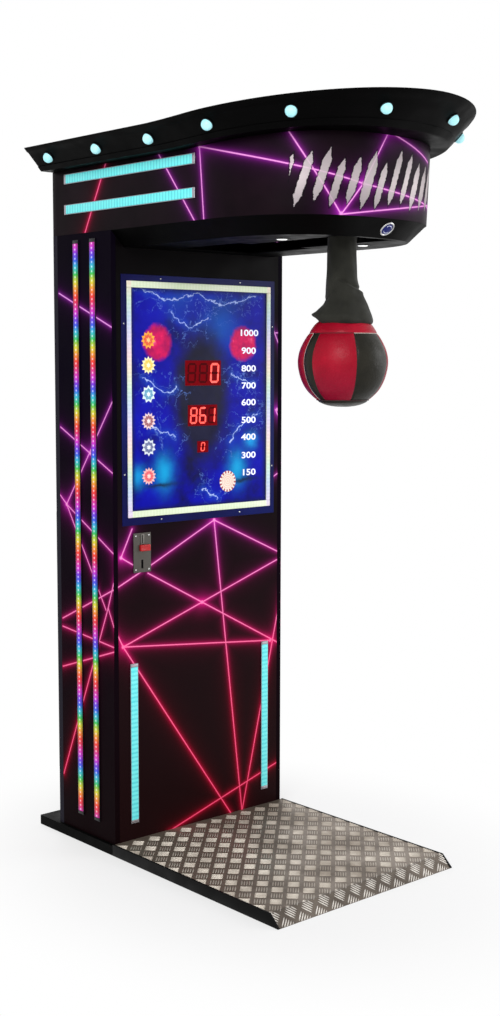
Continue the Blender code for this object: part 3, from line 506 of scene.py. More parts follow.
def head_vinyl():
    """The head's wall: beams, and leaning silver shards across the nose."""
    finish = Finish("head_vinyl", "1b1118", specular=0.03)
    s, h, _ = finish.split(finish.uv)
    point = finish.combine(s, h)
    ground = finish.ramp(finish.noise(7, detail=4), [(0.3, "0e080c"), (0.7, "180e14")])
    lit = laser_print(finish, point, finish.step(s, 0.20, 0.62, (0.22, 0.66)), HEAD_BEAMS, HEAD_STARS, ground,
                      finish.step(s, 0.02, 0.021))
    place = (s - h * SHARD_LEAN) / SHARD_PITCH
    chance = finish.node("TexWhiteNoise", out="Color", named={"W": whole(place)}, noise_dimensions="1D")
    wide, middle, tall = finish.split(chance)
    across = abs(fraction(place) - 0.5) * SHARD_PITCH
    short = (tall * 0.030 + 0.050) - abs(h - (middle * 0.030 + 0.085))
    half = least(wide * 0.009 + 0.0085, short * 0.42)
    ends = abs(s - (SHARDS_FROM + SHARDS_TO) / 2) - (SHARDS_TO - SHARDS_FROM) / 2
    ragged = (finish.noise(80, at=point, detail=6, rough=0.75) - 0.5) * 0.016
    stroke = most(across - half, ends) + ragged
    foil = finish.step(stroke, -0.0007, 0.0007, (1.0, 0.0))
    rim = finish.step(stroke, 0.0022, 0.0045, (0.75, 0.0))
    shade = finish.ramp(h * 5.0, [(0.0, "8c8488"), (0.5, "b9aeb0"), (1.0, "9a9094")])
    finish.set(color=finish.mix(foil, finish.mix(rim, lit, "0c0810"), shade), metal=foil * 0.25)
    return vinyl_surface(finish)


def moulded(name, color, rough=0.38, specular=0.2):
    """Moulded or coated plastic: fine grain and slightly uneven gloss."""
    finish = Finish(name, color, specular=specular)
    finish.set(color=finish.mix(finish.noise(6, detail=4) * 0.25, color, "0e0d0e"),
               normal=finish.bump(finish.noise(900, detail=2), 0.00008, 0.6))
    return finish.uneven(rough - 0.07, rough + 0.09, 14, detail=4)


def painted(name, color, rough=0.45):
    """Powder coat, with its orange peel and a little dust."""
    finish = Finish(name, color, specular=0.4)
    finish.set(color=finish.mix(finish.noise(11, detail=5, rough=0.6) * 0.22, color, "8a857c"),
               normal=finish.bump(finish.cells(700), 0.00007, 0.5))
    return finish.uneven(rough - 0.08, rough + 0.1, 20, detail=4)


def metal(name, color, rough=0.35, brushed=(1.0, 1.0, 1.0), soil=0.25):
    """Bare metal with its brush or tool marks, dulled in patches."""
    finish = Finish(name, color, metal=1.0)
    marks = finish.noise(700, at=finish.vector("MULTIPLY", finish.object, brushed))
    patches = finish.noise(9, detail=5, rough=0.65)
    tone = finish.mix(finish.step(patches, 0.45, 0.75, (0.0, soil)), color, "4a443c")
    return finish.set(color=finish.mix(marks * 0.18, tone, "2e2c2a"), normal=finish.bump(marks, 0.00006, 0.5),
                      rough=patches * 0.22 + (rough - 0.08))


def board_finish():
    """The platform: black laminated board, scuffed along its edges."""
    finish = Finish("black_board", "080808", specular=0.03)
    scuff = finish.noise(40, at=finish.vector("MULTIPLY", finish.object, (1.0, 1.0, 6.0)), detail=6, rough=0.7)
    finish.set(color=finish.mix(finish.step(scuff, 0.60, 0.78, (0.0, 0.25)), "050505", "322f2a"),
               normal=finish.bump(finish.noise(260), 0.0001, 0.6))
    return finish.uneven(0.40, 0.62, 12, detail=4)


def tread_finish(name, top, low, ramp_light_and_shade):
    """Rolled aluminium, dull with patches of grime. The raised bars take a brighter copy, partly trodden bright and
    partly painted highlight; past the fold, the ramp's slope takes painted light and shade.
    """
    finish = Finish(name, top, metal=0.55, specular=0.4)
    grime, speck = finish.noise(5.5, detail=6, rough=0.62), finish.noise(150)
    tone = finish.mix(speck * 0.25, finish.mix(finish.step(grime, 0.36, 0.68), top, low), "6b5e52")
    # Past the fold, the ramp's slope is toned for the way it faces the light: painted shade on the plate, painted
    # highlight on the bars.
    ramp = finish.step(finish.split(finish.object)[1], FOLD_Y - 0.002, FOLD_Y + 0.010, (0.65, 0.0))
    return finish.set(color=finish.mix(ramp, tone, ramp_light_and_shade), normal=finish.bump(speck, 0.00012, 0.5),
                      rough=finish.step(grime, 0.3, 0.7, (0.34, 0.56)))


def beads(finish, axis, pitch, size):
    """1 at each lamp behind a diffuser, dying away between them."""
    place = finish.split(finish.object)["XYZ".index(axis)]
    return finish.step(abs(fraction(place / pitch) - 0.5), size * 0.35, size, (1.0, 0.0))


def lit_diffuser(name, axis):
    """A milky cyan diffuser with a row of lamps behind it."""
    finish = Finish(name, "34c0c6", rough=0.35, specular=0.3)
    bead, haze = beads(finish, axis, 0.014, 0.42), finish.noise(60)
    tone = finish.mix(haze * 0.12, finish.mix(bead * 0.55, "34c0c6", "66e6e2"), "ffffff")
    return finish.lit(tone, 0.38, haze, 0.0001, 0.4)


RAINBOW = [(0.0, "E01850"), (0.09, "F03018"), (0.20, "F09018"), (0.30, "D8D020"), (0.42, "28C040"), (0.54, "18B8D0"),
           (0.64, "2050E0"), (0.74, "7020D8"), (0.84, "D020C8"), (1.0, "E01850")]
RAINBOW_TALL, RAINBOW_SHIFT, LAMP_PITCH = 0.2045, 0.40, 0.0143


def rainbow_diffuser():
    """The side strips: a rainbow that repeats up the strip, with small white lamps along its middle."""
    finish = Finish("rainbow_diffuser", "E028A8", rough=0.35, specular=0.3)
    x, y, z = finish.split(finish.object)
    hue = finish.ramp(fraction(z / RAINBOW_TALL + RAINBOW_SHIFT), RAINBOW)
    aside = least(*[abs(y - centre_of("side_strip_left_" + end).y) for end in ("front", "rear")])
    within = fraction(z / LAMP_PITCH) - 0.5
    away = finish.vector("LENGTH", finish.combine(aside, within * LAMP_PITCH))
    lamp = finish.step(away, 0.0010, 0.0050, (0.50, 0.0))
    deep = finish.mix(finish.step(aside, 0.004, 0.0085, (0.10, 0.55)), hue, "100610")
    return finish.lit(finish.mix(lamp, deep, "F4F0FF"), 0.40, lamp, 0.0002, 0.3)


def border_diffuser():
    """The display's lit border: pale lime along the top and bottom, pastel bands down the sides."""
    finish = Finish("border_diffuser", "d8f0b0", rough=0.35, specular=0.3)
    x, y, z = finish.split(finish.object)
    side = finish.ramp(fraction(z / 0.27 + 0.1), [(0.0, "e4ccd2"), (0.2, "d0c8e2"), (0.42, "b8cae2"),
                                                  (0.62, "c2dccb"), (0.82, "e2d6c0"), (1.0, "e4ccd2")])
    lime = finish.ramp(finish.noise(5, detail=2), [(0.35, "ccdeb8"), (0.65, "dce4cc")])
    upright = abs(x) > BORDER_X - BORDER_SIDE
    tone = finish.mix(upright, lime, side)
    dots = most(beads(finish, "X", 0.0125, 0.3) * (1.0 - upright), beads(finish, "Z", 0.0125, 0.3) * upright)
    return finish.lit(finish.mix(dots * 0.12, tone, "ffffff"), 0.22, dots, 0.0002, 0.3)


# The display's lightning, in metres: x and height, walked from point to point and then made ragged.
BOLTS = [[(-0.25, 1.80), (-0.12, 1.765), (-0.02, 1.79), (0.10, 1.755), (0.24, 1.79)],
         [(-0.24, 1.52), (-0.15, 1.47), (-0.10, 1.49)], [(0.22, 1.50), (0.13, 1.53)],
         [(-0.13, 1.73), (-0.05, 1.68), (0.03, 1.71)], [(0.25, 1.40), (0.16, 1.36), (0.12, 1.30)],
         [(-0.20, 1.36), (-0.11, 1.33)], [(0.00, 1.16), (0.07, 1.12)]]
# Its soft pools of light and shade: x, height, reach, how tall for their width, strength and colour.
POOLS = [(0.085, 1.69, 0.07, 1.0, 0.75, "0a58b8"), (-0.09, 1.77, 0.06, 1.0, 0.5, "1048b0"),
         (-0.155, 1.22, 0.034, 1.5, 0.95, "10a0d8"), (-0.17, 1.178, 0.075, 0.10, 0.9, "0a2038"),
         (0.155, 1.22, 0.034, 1.5, 0.95, "10a0d8"), (0.17, 1.178, 0.075, 0.10, 0.9, "0a2038"),
         (-0.26, 1.21, 0.03, 1.0, 0.8, "10a0e0"), (0.215, 1.31, 0.025, 1.0, 0.8, "18a8e8")]


def display_art():
    """The printed panel: an electric blue field with ragged lightning, two red glows and an oval of shade."""
    finish = Finish("display_print", "0a0c8c", specular=0.08, rough=0.3)
    x, y, z = finish.split(finish.object)
    point = finish.combine(x, z)
    warp = finish.vector("SUBTRACT", finish.noise(26, point, 5, 0.65, out="Color"), (0.5, 0.5, 0.5))
    jagged = finish.vector("MULTIPLY_ADD", warp, (0.055, 0.055, 0.0), point)
    soft = finish.vector("MULTIPLY_ADD", warp, (0.03, 0.03, 0.0), point)

    def patchy(scale, detail, stops, rough=0.5):
        return finish.ramp(finish.noise(scale, point, detail, rough), stops)

    tone = patchy(7, 4, [(0.30, "00004c"), (0.50, "000098"), (0.68, "0208ac")], 0.6)
    for across, height, reach, tall, strength, color in POOLS:
        away = finish.away(soft, (across, height, 0.0), (1.0, 1.0 / tall, 0.0))
        tone = finish.mix(fading((away / reach) ** 2.0, 1.0) * strength, tone, color)
    # A plain oval of shade behind the three windows, so that their digits stand out.
    dark = finish.step(finish.away(soft, (0.0, 1.46, 0.0), (1.0, 0.52, 0.0)), 0.075, 0.150, (0.94, 0.0))
    tone = finish.mix(dark, tone, patchy(9, 3, [(0.35, "0c0c10"), (0.7, "1c1c22")]))
    for side in (-1, 1):
        orb = finish.step(finish.vector("DISTANCE", soft, (0.180 * side, 1.632, 0.0)), 0.046, 0.064, (0.95, 0.0))
        tone = finish.mix(orb, tone, patchy(24, 4, [(0.35, "a80650"), (0.6, "e01458"), (0.75, "f86496")]))
    near = nearest_beam(finish, jagged, BOLTS)
    ridge = abs(finish.noise(15, jagged, 3, 0.6) - 0.5)
    fine = finish.step(ridge, 0.002, 0.009, (0.7, 0.0)) * finish.step(near, 0.035, 0.075, (1.0, 0.0))
    tone = finish.mix(fading(near, 0.010) * 0.6, tone, "1c54c8")
    tone = finish.mix(finish.step(near, 0.0008, 0.0026, (0.85, 0.0)), tone, "b8ccf4")
    tone = finish.mix(fine, tone, "5c80d0")
    margin = most(abs(x) - 0.281, abs(z - 1.452) - 0.351)
    tone = finish.mix(finish.step(margin, -0.020, 0.004), tone, patchy(4, 2, [(0.35, "04043c"), (0.7, "06145c")]))
    front = y < DISPLAY_LOW[1] + 0.0004
    # The print's front is given a faint light of its own: painted glow.
    return finish.lit(finish.mix(front, "0a0a12", tone), front * 0.12, finish.noise(300, detail=2), 0.00004, 0.4)


def speckled(name, color, other, rough=0.4, specular=0.4, glow=0.0, scale=40, share=0.3):
    """A plain colour with a little variation, and its own light where it has some."""
    finish = Finish(name, color, specular=specular)
    tone = finish.mix(finish.noise(scale, detail=4) * share, color, other)
    finish.set(color=tone, normal=finish.bump(finish.noise(scale * 12, detail=2), 0.00005, 0.4))
    if glow:
        finish.set(glow=tone, glow_strength=glow)
    return finish.uneven(rough - 0.06, rough + 0.08, 25, detail=3)


SEAM_TOP = 0.082


def leather():
    """Glossy leather gores, red and black by the angle round the ball."""
    finish = Finish("ball_leather", "a01828", specular=0.14)
    u, v, _ = finish.split(finish.uv)
    black = functools.reduce(most, ((u > start) * (u < end) for start, end in BLACK_GORES))
    black = most(black * (v < SEAM_TOP), v < BALL_CAP)
    pebble, crease = finish.cells(260), finish.noise(38, detail=6, rough=0.6)
    red = finish.ramp(finish.noise(13, detail=4), [(0.3, "8c061e"), (0.7, "a60e28")])
    # Darker towards the bottom of the ball: painted shade.
    red = finish.mix(finish.step(v, -0.10, 0.02, (0.5, 0.0)), red, "7a002c")
    dark = finish.ramp(finish.noise(17, detail=4), [(0.3, "1a1913"), (0.7, "26241d")])
    finish.set(color=finish.mix(black, red, dark),
               normal=finish.bump(crease, 0.0030, 0.5, under=finish.bump(pebble, 0.0005, 0.5)))
    return finish.uneven(0.30, 0.44, 30, detail=4)


THREAD = 2 * math.pi / 0.0022  # turns a place on the cloth into the phase of its weave


def cuff_fabric():
    """Coated black canvas: a plain weave, dull folds and a faint nap."""
    finish = Finish("cuff_fabric", "24241f", specular=0.08)
    u, v, _ = finish.split(finish.uv)
    weave = sine(u * THREAD) * sine(v * THREAD)
    tone = finish.ramp(finish.noise(22, detail=5), [(0.3, "191915"), (0.7, "282823")])
    finish.set(color=finish.mix((weave + 1.0) * 0.10, tone, "4c4c46"), normal=finish.bump(weave, 0.0003, 0.35),
               sheen=0.08, sheen_rough=0.5)
    return finish.uneven(0.55, 0.75, 30, detail=4)


def roundel_finish():
    """A pale roundel with a dashed red rim."""
    finish = Finish("roundel_print", "f0e0d0", rough=0.35, specular=0.3)
    x, y, z = finish.split(finish.object)
    dx, dz = x - ROUNDEL_X, z - ROUNDEL_Z
    away = finish.vector("LENGTH", finish.combine(dx, dz))
    dash = fraction(bearing(dz, dx) / (2 * math.pi / 16)) > 0.5
    inner = finish.mix((sine(away * 900) > 0.35) * 0.45, "f6e6d8", "e2866e")
    tone = finish.mix(away > 0.027, inner, finish.mix(dash, "f8f0ea", "a81c30"))
    tone = finish.mix(finish.noise(180) * 0.2, tone, "c8b0a0")
    # The roundel is given a faint light of its own: painted glow.
    return finish.lit(tone, 0.12, finish.noise(300), 0.00004, 0.4)


# ---------------------------------------------------------------- plans and surfaces


class Plan:
    """An outline round the front: straight sides from the rear, then a blunt nose."""

    STEPS = 200

    def __init__(self, half, start, tip, power, rear):
        self.points = [(-half, rear)]
        for i in range(self.STEPS + 1):
            turn = math.pi / 2 * i / self.STEPS
            self.points.append((-half * math.cos(turn) ** (2 / power),
                                -start - (tip - start) * math.sin(turn) ** (2 / power)))
        self.runs = [0.0]
        for a, b in zip(self.points, self.points[1:]):
            self.runs.append(self.runs[-1] + math.dist(a, b))

    def at(self, share):
        """The place this share of the way round, from the rear left corner to the rear right one."""
        walked = min(share, 1 - share) * 2 * self.runs[-1]
        i = min(max(1, bisect.bisect_left(self.runs, walked)), len(self.runs) - 1)
        part = (walked - self.runs[i - 1]) / max(1e-9, self.runs[i] - self.runs[i - 1])
        x = lerp(self.points[i - 1][0], self.points[i][0], part)
        y = lerp(self.points[i - 1][1], self.points[i][1], part)
        return (x if share <= 0.5 else -x, y)

    def length(self):
        return 2 * self.runs[-1]


def lifted(y, rise):
    return rise * max(0.0, -y - RISE_START) ** 1.5


NOSE_START, NOSE_TIP, NOSE_POWER = 0.423, 0.814, 2.55  # where the nose begins, its reach and its bluntness
HEAD_FOOT_PLAN = Plan(HALF, NOSE_START, NOSE_TIP, NOSE_POWER, DEPTH)
HEAD_TOP_PLAN = Plan(HALF, NOSE_START, 0.828, NOSE_POWER, DEPTH)
ACROSS = 10  # faces across the rear, which floors and soffits share


def head_at(share, up):
    """A place on the head's wall, with its place on the print."""
    foot, top = HEAD_FOOT_PLAN.at(share), HEAD_TOP_PLAN.at(share)
    x, y = lerp(foot[0], top[0], up), lerp(foot[1], top[1], up)
    z = lerp(COLUMN_TOP, HEAD_TOP + lifted(top[1], HEAD_RISE), up)
    return Vector((x, y, z)), (share * HEAD_FOOT_PLAN.length(), z - COLUMN_TOP)


def round_and_back(at, half, rear):
    """Carries a wall's round stations on across its rear, from right to left."""

    def place(station, row):
        if station <= 1:
            return at(station, row)
        corner, mark = at(1.0, row)
        spot = Vector((lerp(half(row), -half(row), station - 1), rear(row), corner.z))
        return spot, (mark[0] + (station - 1) * 2 * half(row), mark[1])

    return place


def all_round(count):
    """Stations round the front, and on across the rear."""
    return even(count) + [1 + k / ACROSS for k in range(1, ACROSS + 1)]


def make_head_wall(vinyl):
    place = round_and_back(head_at, lambda row: HALF, lambda row: DEPTH)
    wall = merged(skin("head_wall_print", all_round(120), even(8), place), outwards=False)
    shape(wall, "SOLIDIFY", thickness=HEAD_WALL, offset=-1)
    rounded(wall, 0.0010, 2, 60)
    settle(wall, vinyl, stands_for=["head_wall"])


# The openings in the underside, from corner to corner: for the ball when it is up, and for the arm under its axle.
OPENINGS = [((-0.150, -0.360), (0.150, -0.060)), ((-0.105, -0.745), (0.105, -0.330))]


def make_underside(moulding):
    rear = -0.0003
    plans = {inset: Plan(HALF - inset, NOSE_START, NOSE_TIP - inset, NOSE_POWER, rear)
             for inset in (0.0, 0.003, 0.047, CHAMFER)}
    rim = COLUMN_TOP - 0.0003
    rows = [(0.0, rim), (0.003, lerp(rim, UNDERSIDE_Z, 0.03)), (0.047, lerp(rim, UNDERSIDE_Z, 0.95)),
            (CHAMFER, UNDERSIDE_Z)]

    def chamfer_at(share, row):
        inset, z = row
        return Vector((*plans[inset].at(share), z))

    def floor_at(share, across):
        x, y = plans[CHAMFER].at(share)
        return Vector((x * across, y, UNDERSIDE_Z))

    chamfer = skin("head_underside_shell", even(120), rows[::-1], chamfer_at)
    across = [1 - 2 * i / ACROSS for i in range(ACROSS + 1)]
    floor = skin("floor", even(120)[:61], across, floor_at)
    shell = merged(joined("head_underside_shell", [chamfer, floor]), outwards=False)
    pick(shell, lambda face: face.normal.z > 0.3)
    bpy.ops.mesh.flip_normals()
    done()
    shape(shell, "SOLIDIFY", thickness=0.004, offset=-1)
    for side in ("left", "right"):
        middle = centre_of("downlight_" + side)
        bpy.ops.mesh.primitive_cylinder_add(vertices=40, radius=0.0188, depth=0.06,
                                            location=(middle.x, middle.y, UNDERSIDE_Z))
        cut(shell, new("hole"))
    for low, high in OPENINGS:
        cut(shell, block("opening", (*low, UNDERSIDE_Z - 0.05), (*high, UNDERSIDE_Z + 0.03), 0.010, 5))
    rounded(shell, 0.0008, 2, 50)
    settle(shell, moulding, stands_for=["head_underside"])


def crown_plan(share, inset=0.0):
    drawn_in = inset + (CROWN_COVE if 0.2 <= share <= 0.8 else 0.0)
    return Plan(HALF + lerp(0.043, 0.107, share) - drawn_in, lerp(0.450, 0.494, share),
                lerp(0.900, 1.017, share) - drawn_in, lerp(2.3, 1.9, share), DEPTH - inset)


def crown_height(share, y):
    return CROWN_FOOT + CROWN_TALL * share + lifted(y, lerp(0.065, 0.082, share))


def make_crown(moulding):
    """The flared tray: its cove, its rolled rim, its inner face and its floor."""
    rows = [(s, 0.0, 0.0) for s in (0.0, 0.025, 0.19, 0.215, 0.35, 0.5, 0.65, 0.785, 0.81, 0.965)]
    rows += [(1.0, 0.0012, -0.0004), (1.0, 0.0030, 0.0), (1.0, 0.0055, -0.0003)]
    rows += [(s, CROWN_WALL, 0.0) for s in (0.965, 0.8, 0.5, 0.2)]
    rows += [(0.0, 0.010, CROWN_WALL)]
    plans = {row: crown_plan(row[0], row[1]) for row in rows}

    def at(share, row):
        x, y = plans[row].at(share)
        return Vector((x, y, crown_height(row[0], y) + row[2])), (share, row[0])

    def wall_at(station, row):
        if station <= 1:
            return at(station, row)
        left, rear = plans[row].points[0]
        return Vector((lerp(-left, left, station - 1), rear, crown_height(row[0], rear) + row[2])), (station, row[0])

    def flat_at(row):
        def place(share, over):
            spot, mark = at(share, row)
            return Vector((-spot.x * over, spot.y, spot.z)), (share, over)
        return place

    across = [-1 + 2 * i / ACROSS for i in range(ACROSS + 1)]
    wall = skin("crown_shell", all_round(132), rows, wall_at)
    soffit = skin("soffit", even(132)[:67], across, flat_at(rows[0]))
    floor = skin("tray", even(132)[:67], across, flat_at(rows[-1]))
    shell = merged(joined("crown_shell", [wall, soffit, floor]))
    settle(shell, moulding, stands_for=["crown"], smooth=40)


def crown_spot(share):
    """A place halfway up the crown's cove, and the way it faces."""
    def spot(around, height):
        x, y = crown_plan(height).at(around)
        return Vector((x, y, crown_height(height, y)))

    along = spot(min(1, share + 0.004), 0.5) - spot(max(0, share - 0.004), 0.5)
    upward = spot(share, 0.70) - spot(share, 0.30)
    return spot(share, 0.5), along.cross(upward).normalized()


def make_bulbs(dome_finish, bezel_finish):
    """The crown's lamps: a thin bezel and a moulded dome, on each of the record's places."""
    dome = turned("dome", [(0.0, 0.0012), (0.0158, 0.0012), (0.0164, 0.0030), (0.0160, 0.0072), (0.0146, 0.0112),
                           (0.0122, 0.0148), (0.0090, 0.0176), (0.0050, 0.0194), (0.0, 0.0202)], 28)
    bezel = turned("bezel", [(0.0150, 0.0004), (0.0182, 0.0004), (0.0186, 0.0014), (0.0182, 0.0030),
                             (0.0170, 0.0034), (0.0164, 0.0026), (0.0150, 0.0004)], 28)
    spots = [crown_spot(share) for share in even(200)]
    for node in sorted(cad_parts):
        if node.startswith("crown_bulb_"):
            middle, number = centre_of(node), node[-2:]
            here, facing = min(spots, key=lambda spot: (spot[0] - middle).length)
            settle(copied(dome, "bulb_dome_" + number, aimed(facing), here), dome_finish,
                   stands_for=[node], smooth=60)
            settle(copied(bezel, "bulb_bezel_" + number, aimed(facing), here), bezel_finish)
    for model in (dome, bezel):
        bpy.data.objects.remove(model)


STRIP_END = 0.011


def make_strip(node, turn, sizes, diffuser, channel):
    """A light strip: a U channel, its two end pieces and the milky diffuser between them."""
    width, depth, long = sizes
    back = centre_of(node) - turn @ Vector((0, -1, 0)) * depth / 2
    rail = block(node + "_channel", (-width / 2, -depth * 0.72, -long / 2), (width / 2, 0, long / 2))
    pick(rail, lambda face: face.normal.y < -0.5)
    bpy.ops.mesh.inset(thickness=0.0016)
    bpy.ops.mesh.extrude_region_move(TRANSFORM_OT_translate={"value": (0, depth * 0.5, 0)})
    done()
    rounded(rail, 0.0003, 1)
    ends = []
    for side in (-1, 1):
        near, far = sorted((side * (long / 2 - 0.0018), side * (long / 2 - STRIP_END)))
        ends.append(block("end", (-width / 2 + 0.0018, -depth * 0.9, near), (width / 2 - 0.0018, -depth * 0.1, far),
                          0.0006))
    rail = joined(node + "_channel", [rail, *ends])
    cover = block(node + "_diffuser", (-width / 2 + 0.0019, -depth, -long / 2 + STRIP_END + 0.0003),
                  (width / 2 - 0.0019, -depth * 0.25, long / 2 - STRIP_END - 0.0003), 0.0014, 3)
    settle(placed(rail, turn.to_4x4(), back), channel)
    settle(placed(cover, turn.to_4x4(), back), diffuser, stands_for=[node])


def make_strips(channel, dark_channel):
    cyan_up, cyan_along = lit_diffuser("cyan_diffuser_upright", "Z"), lit_diffuser("cyan_diffuser_level", "Y")
    rainbow = rainbow_diffuser()
    for node in sorted(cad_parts):
        low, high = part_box(node)
        wide, deep, tall = high - low
        outwards = Matrix.Rotation(math.radians(-90 if low.x < 0 else 90), 3, "Z")
        if node.startswith("front_strip_"):
            make_strip(node, Matrix.Identity(3), (wide, deep, tall), cyan_up, channel)
        elif node.startswith("side_strip_"):
            make_strip(node, outwards, (deep, wide, tall), rainbow, dark_channel)
        elif node.startswith("head_bar_"):
            lying = outwards @ Matrix.Rotation(math.radians(90), 3, "Y")
            make_strip(node, lying, (tall, wide, deep), cyan_along, channel)


# ---------------------------------------------------------------- the platform's tread plate
CELL = 0.0463  # from one group of five bars to the next, along the bars' own directions
BAR_LONG, BAR_WIDE, BAR_TALL, BAR_STEP = 0.0365, 0.0046, 0.0014, 0.0076
FOLD_Y = -0.745
RAMP_TURN, RAMP_LONG = math.radians(43.6), 0.050
FIELD_LONG = 0.86  # how much of the plate's length the bars cover, before they are trimmed


def make_tread(bright):
    """The raised bars of the tread plate: five a group, each group square to its neighbours."""
    bpy.ops.mesh.primitive_cylinder_add(vertices=8, radius=0.5, depth=1, end_fill_type="NGON")
    bpy.context.object.scale = (BAR_LONG, BAR_WIDE, BAR_TALL)
    bar = new("bar")
    pick(bar, lambda face: face.normal.z > 0.5)
    bpy.ops.transform.resize(value=(0.86, 0.42, 1.0))
    done()
    group = repeated(placed(bar, move=(0, -2 * BAR_STEP, BAR_TALL / 2 - 0.0001)), 5, (0, BAR_STEP, 0))
    column = CELL / math.sqrt(2)
    other = copied(group, "other", Matrix.Rotation(math.radians(-45), 4, "Z"), (column, column, 0))
    placed(group, Matrix.Rotation(math.radians(45), 4, "Z"))
    field = joined("tread_bars", [group, other])
    across = 2 * math.ceil(TREAD_HIGH.x / (2 * column)) + 2
    along = math.ceil(FIELD_LONG / (2 * column)) + 1
    repeated(field, across, (2 * column, 0, 0))
    repeated(field, along, (0, 2 * column, 0))
    placed(field, move=(-across * column, TREAD_HIGH.y - 0.005 - along * 2 * column, TREAD_HIGH.z))
    for point, normal in (((TREAD_LOW.x + 0.004, 0, 0), (-1, 0, 0)), ((TREAD_HIGH.x - 0.004, 0, 0), (1, 0, 0)),
                          ((0, FOLD_Y - RAMP_LONG, 0), (0, -1, 0)), ((0, TREAD_HIGH.y - 0.001, 0), (0, 1, 0))):
        pick_all(field)
        bpy.ops.mesh.bisect(plane_co=point, plane_no=normal, clear_outer=True, use_fill=True)
        done()
    fold = (Matrix.Translation((0, FOLD_Y, TREAD_HIGH.z)) @ Matrix.Rotation(RAMP_TURN, 4, "X")
            @ Matrix.Translation((0, -FOLD_Y, -TREAD_HIGH.z)))
    for vertex in field.data.vertices:
        if vertex.co.y < FOLD_Y:
            vertex.co = fold @ vertex.co
    settle(field, bright, smooth=20)


def make_edging(finish):
    """The black edging down each side of the platform, which closes the ends of the ramp too."""
    for side, name in ((-1, "left"), (1, "right")):
        low, high = sorted((side * (TREAD_HIGH.x - 0.0060), side * (TREAD_HIGH.x + 0.0010)))
        strip = block("platform_edging_" + name, (low, FOLD_Y, 0.0008), (high, TREAD_HIGH.y, TREAD_HIGH.z + 0.0016))
        pick(strip, lambda face: face.normal.y < -0.5)
        bpy.ops.mesh.extrude_region_move(TRANSFORM_OT_translate={"value": (0, TREAD_LOW.y - FOLD_Y - 0.0010, 0)})
        done()
        for vertex in strip.data.vertices:
            if vertex.co.y < FOLD_Y - 0.01:
                vertex.co.z = 0.0004 if vertex.co.z < 0.01 else 0.0022
        settle(rounded(strip, 0.0006), finish)


# ---------------------------------------------------------------- the display
DISPLAY_FRONT = DISPLAY_LOW.y
BORDER_X, BORDER_LOW, BORDER_HIGH, BORDER_WIDE, BORDER_SIDE = 0.300, 1.082, 1.822, 0.020, 0.016
MARKS = [("1000", 1.667), ("900", 1.608), ("800", 1.549), ("700", 1.492), ("600", 1.436), ("500", 1.377),
         ("400", 1.320), ("300", 1.259), ("150", 1.201)]
MARKS_X = 0.205
BURST_X = -0.216
BURSTS = [(1.640, "f4b428", "e03a2c", 11), (1.561, "f6f0c8", "e8c62c", 12), (1.470, "e8f4f8", "2490b8", 9),
          (1.385, "f0d8dc", "8c2438", 13), (1.302, "e4ecf4", "243c80", 10), (1.210, "f8c8c0", "e02c48", 14)]
ROUNDEL_X, ROUNDEL_Z = 0.113, 1.176


def make_border(finish):
    """The lit border: four milky bars, the upright ones between the level ones."""
    front, back = DISPLAY_FRONT - 0.0045, DISPLAY_FRONT - 0.0001
    inner_low, inner_high = BORDER_LOW + BORDER_WIDE, BORDER_HIGH - BORDER_WIDE
    bars = [("top", (-BORDER_X, inner_high), (BORDER_X, BORDER_HIGH)),
            ("bottom", (-BORDER_X, BORDER_LOW), (BORDER_X, inner_low)),
            ("left", (-BORDER_X, inner_low + 0.0004), (-BORDER_X + BORDER_SIDE, inner_high - 0.0004)),
            ("right", (BORDER_X - BORDER_SIDE, inner_low + 0.0004), (BORDER_X, inner_high - 0.0004))]
    for name, low, high in bars:
        bar = block("display_border_" + name, (low[0], front, low[1]), (high[0], back, high[1]), 0.0013, 3)
        settle(bar, finish)


def make_marks(finish):
    """The scale of scores down the right."""
    texts = []
    for mark, height in MARKS:
        bpy.ops.object.text_add(location=(MARKS_X, DISPLAY_FRONT - 0.0004, height),
                                rotation=(math.radians(90), 0, 0))
        text = bpy.context.object
        text.data.body = mark
        text.data.align_x, text.data.align_y = "CENTER", "CENTER"
        text.data.size = 0.0290
        text.data.resolution_u = 4  # at the default step, the widened 900 makes a badly wound mesh
        text.data.offset = 0.0006
        text.data.extrude = 0.0003
        text.scale = (1.48, 1.0, 1.0)
        take(text)
        bpy.ops.object.convert(target="MESH")
        texts.append(new("mark_" + mark))
    settle(merged(joined("score_marks", texts)), finish)


def make_burst(name, height, points, outer, inner, front):
    """A flat star with `points` points."""
    middle = Vector((BURST_X, front, height))
    bpy.ops.mesh.primitive_circle_add(vertices=2 * points, radius=outer, fill_type="NGON",
                                      location=middle, rotation=(math.radians(90), 0, 0))
    star = new(name)
    for vertex in list(star.data.vertices)[1::2]:
        vertex.co = middle + (vertex.co - middle) * (inner / outer)
    shape(star, "SOLIDIFY", thickness=0.0003, offset=0)
    return rounded(merged(star), 0.0001, 1, 60)


def make_bursts():
    """Each burst is three stars, one over the other."""
    for i, (height, pale, strong, points) in enumerate(BURSTS, 1):
        for name, corners, outer, inner, lift, look, color, other, glow in (
                ("rim", points, 0.0285, 0.0205, 0.0003, "pale", pale, strong, 0.15),
                ("heart", points - 2, 0.0200, 0.0150, 0.0006, "strong", strong, pale, 0.15),
                ("core", 6, 0.0095, 0.0050, 0.0009, "core", pale, "ffffff", 0.2)):
            # Each star is given a faint light of its own, from the last column: painted glow.
            star = make_burst(f"burst_{i}_{name}", height, corners, outer, inner, DISPLAY_FRONT - lift)
            settle(star, speckled(f"burst_{i}_{look}", color, other, glow=glow, scale=90))


def make_roundel(finish):
    disc = turned("roundel", [(0.0, 0.0), (0.034, 0.0), (0.035, 0.0003), (0.034, 0.0007), (0.028, 0.0008),
                              (0.027, 0.0005), (0.0, 0.0005)], 48)
    placed(disc, Matrix.Rotation(math.radians(90), 4, "X"), (ROUNDEL_X, DISPLAY_FRONT - 0.0001, ROUNDEL_Z))
    settle(disc, finish)


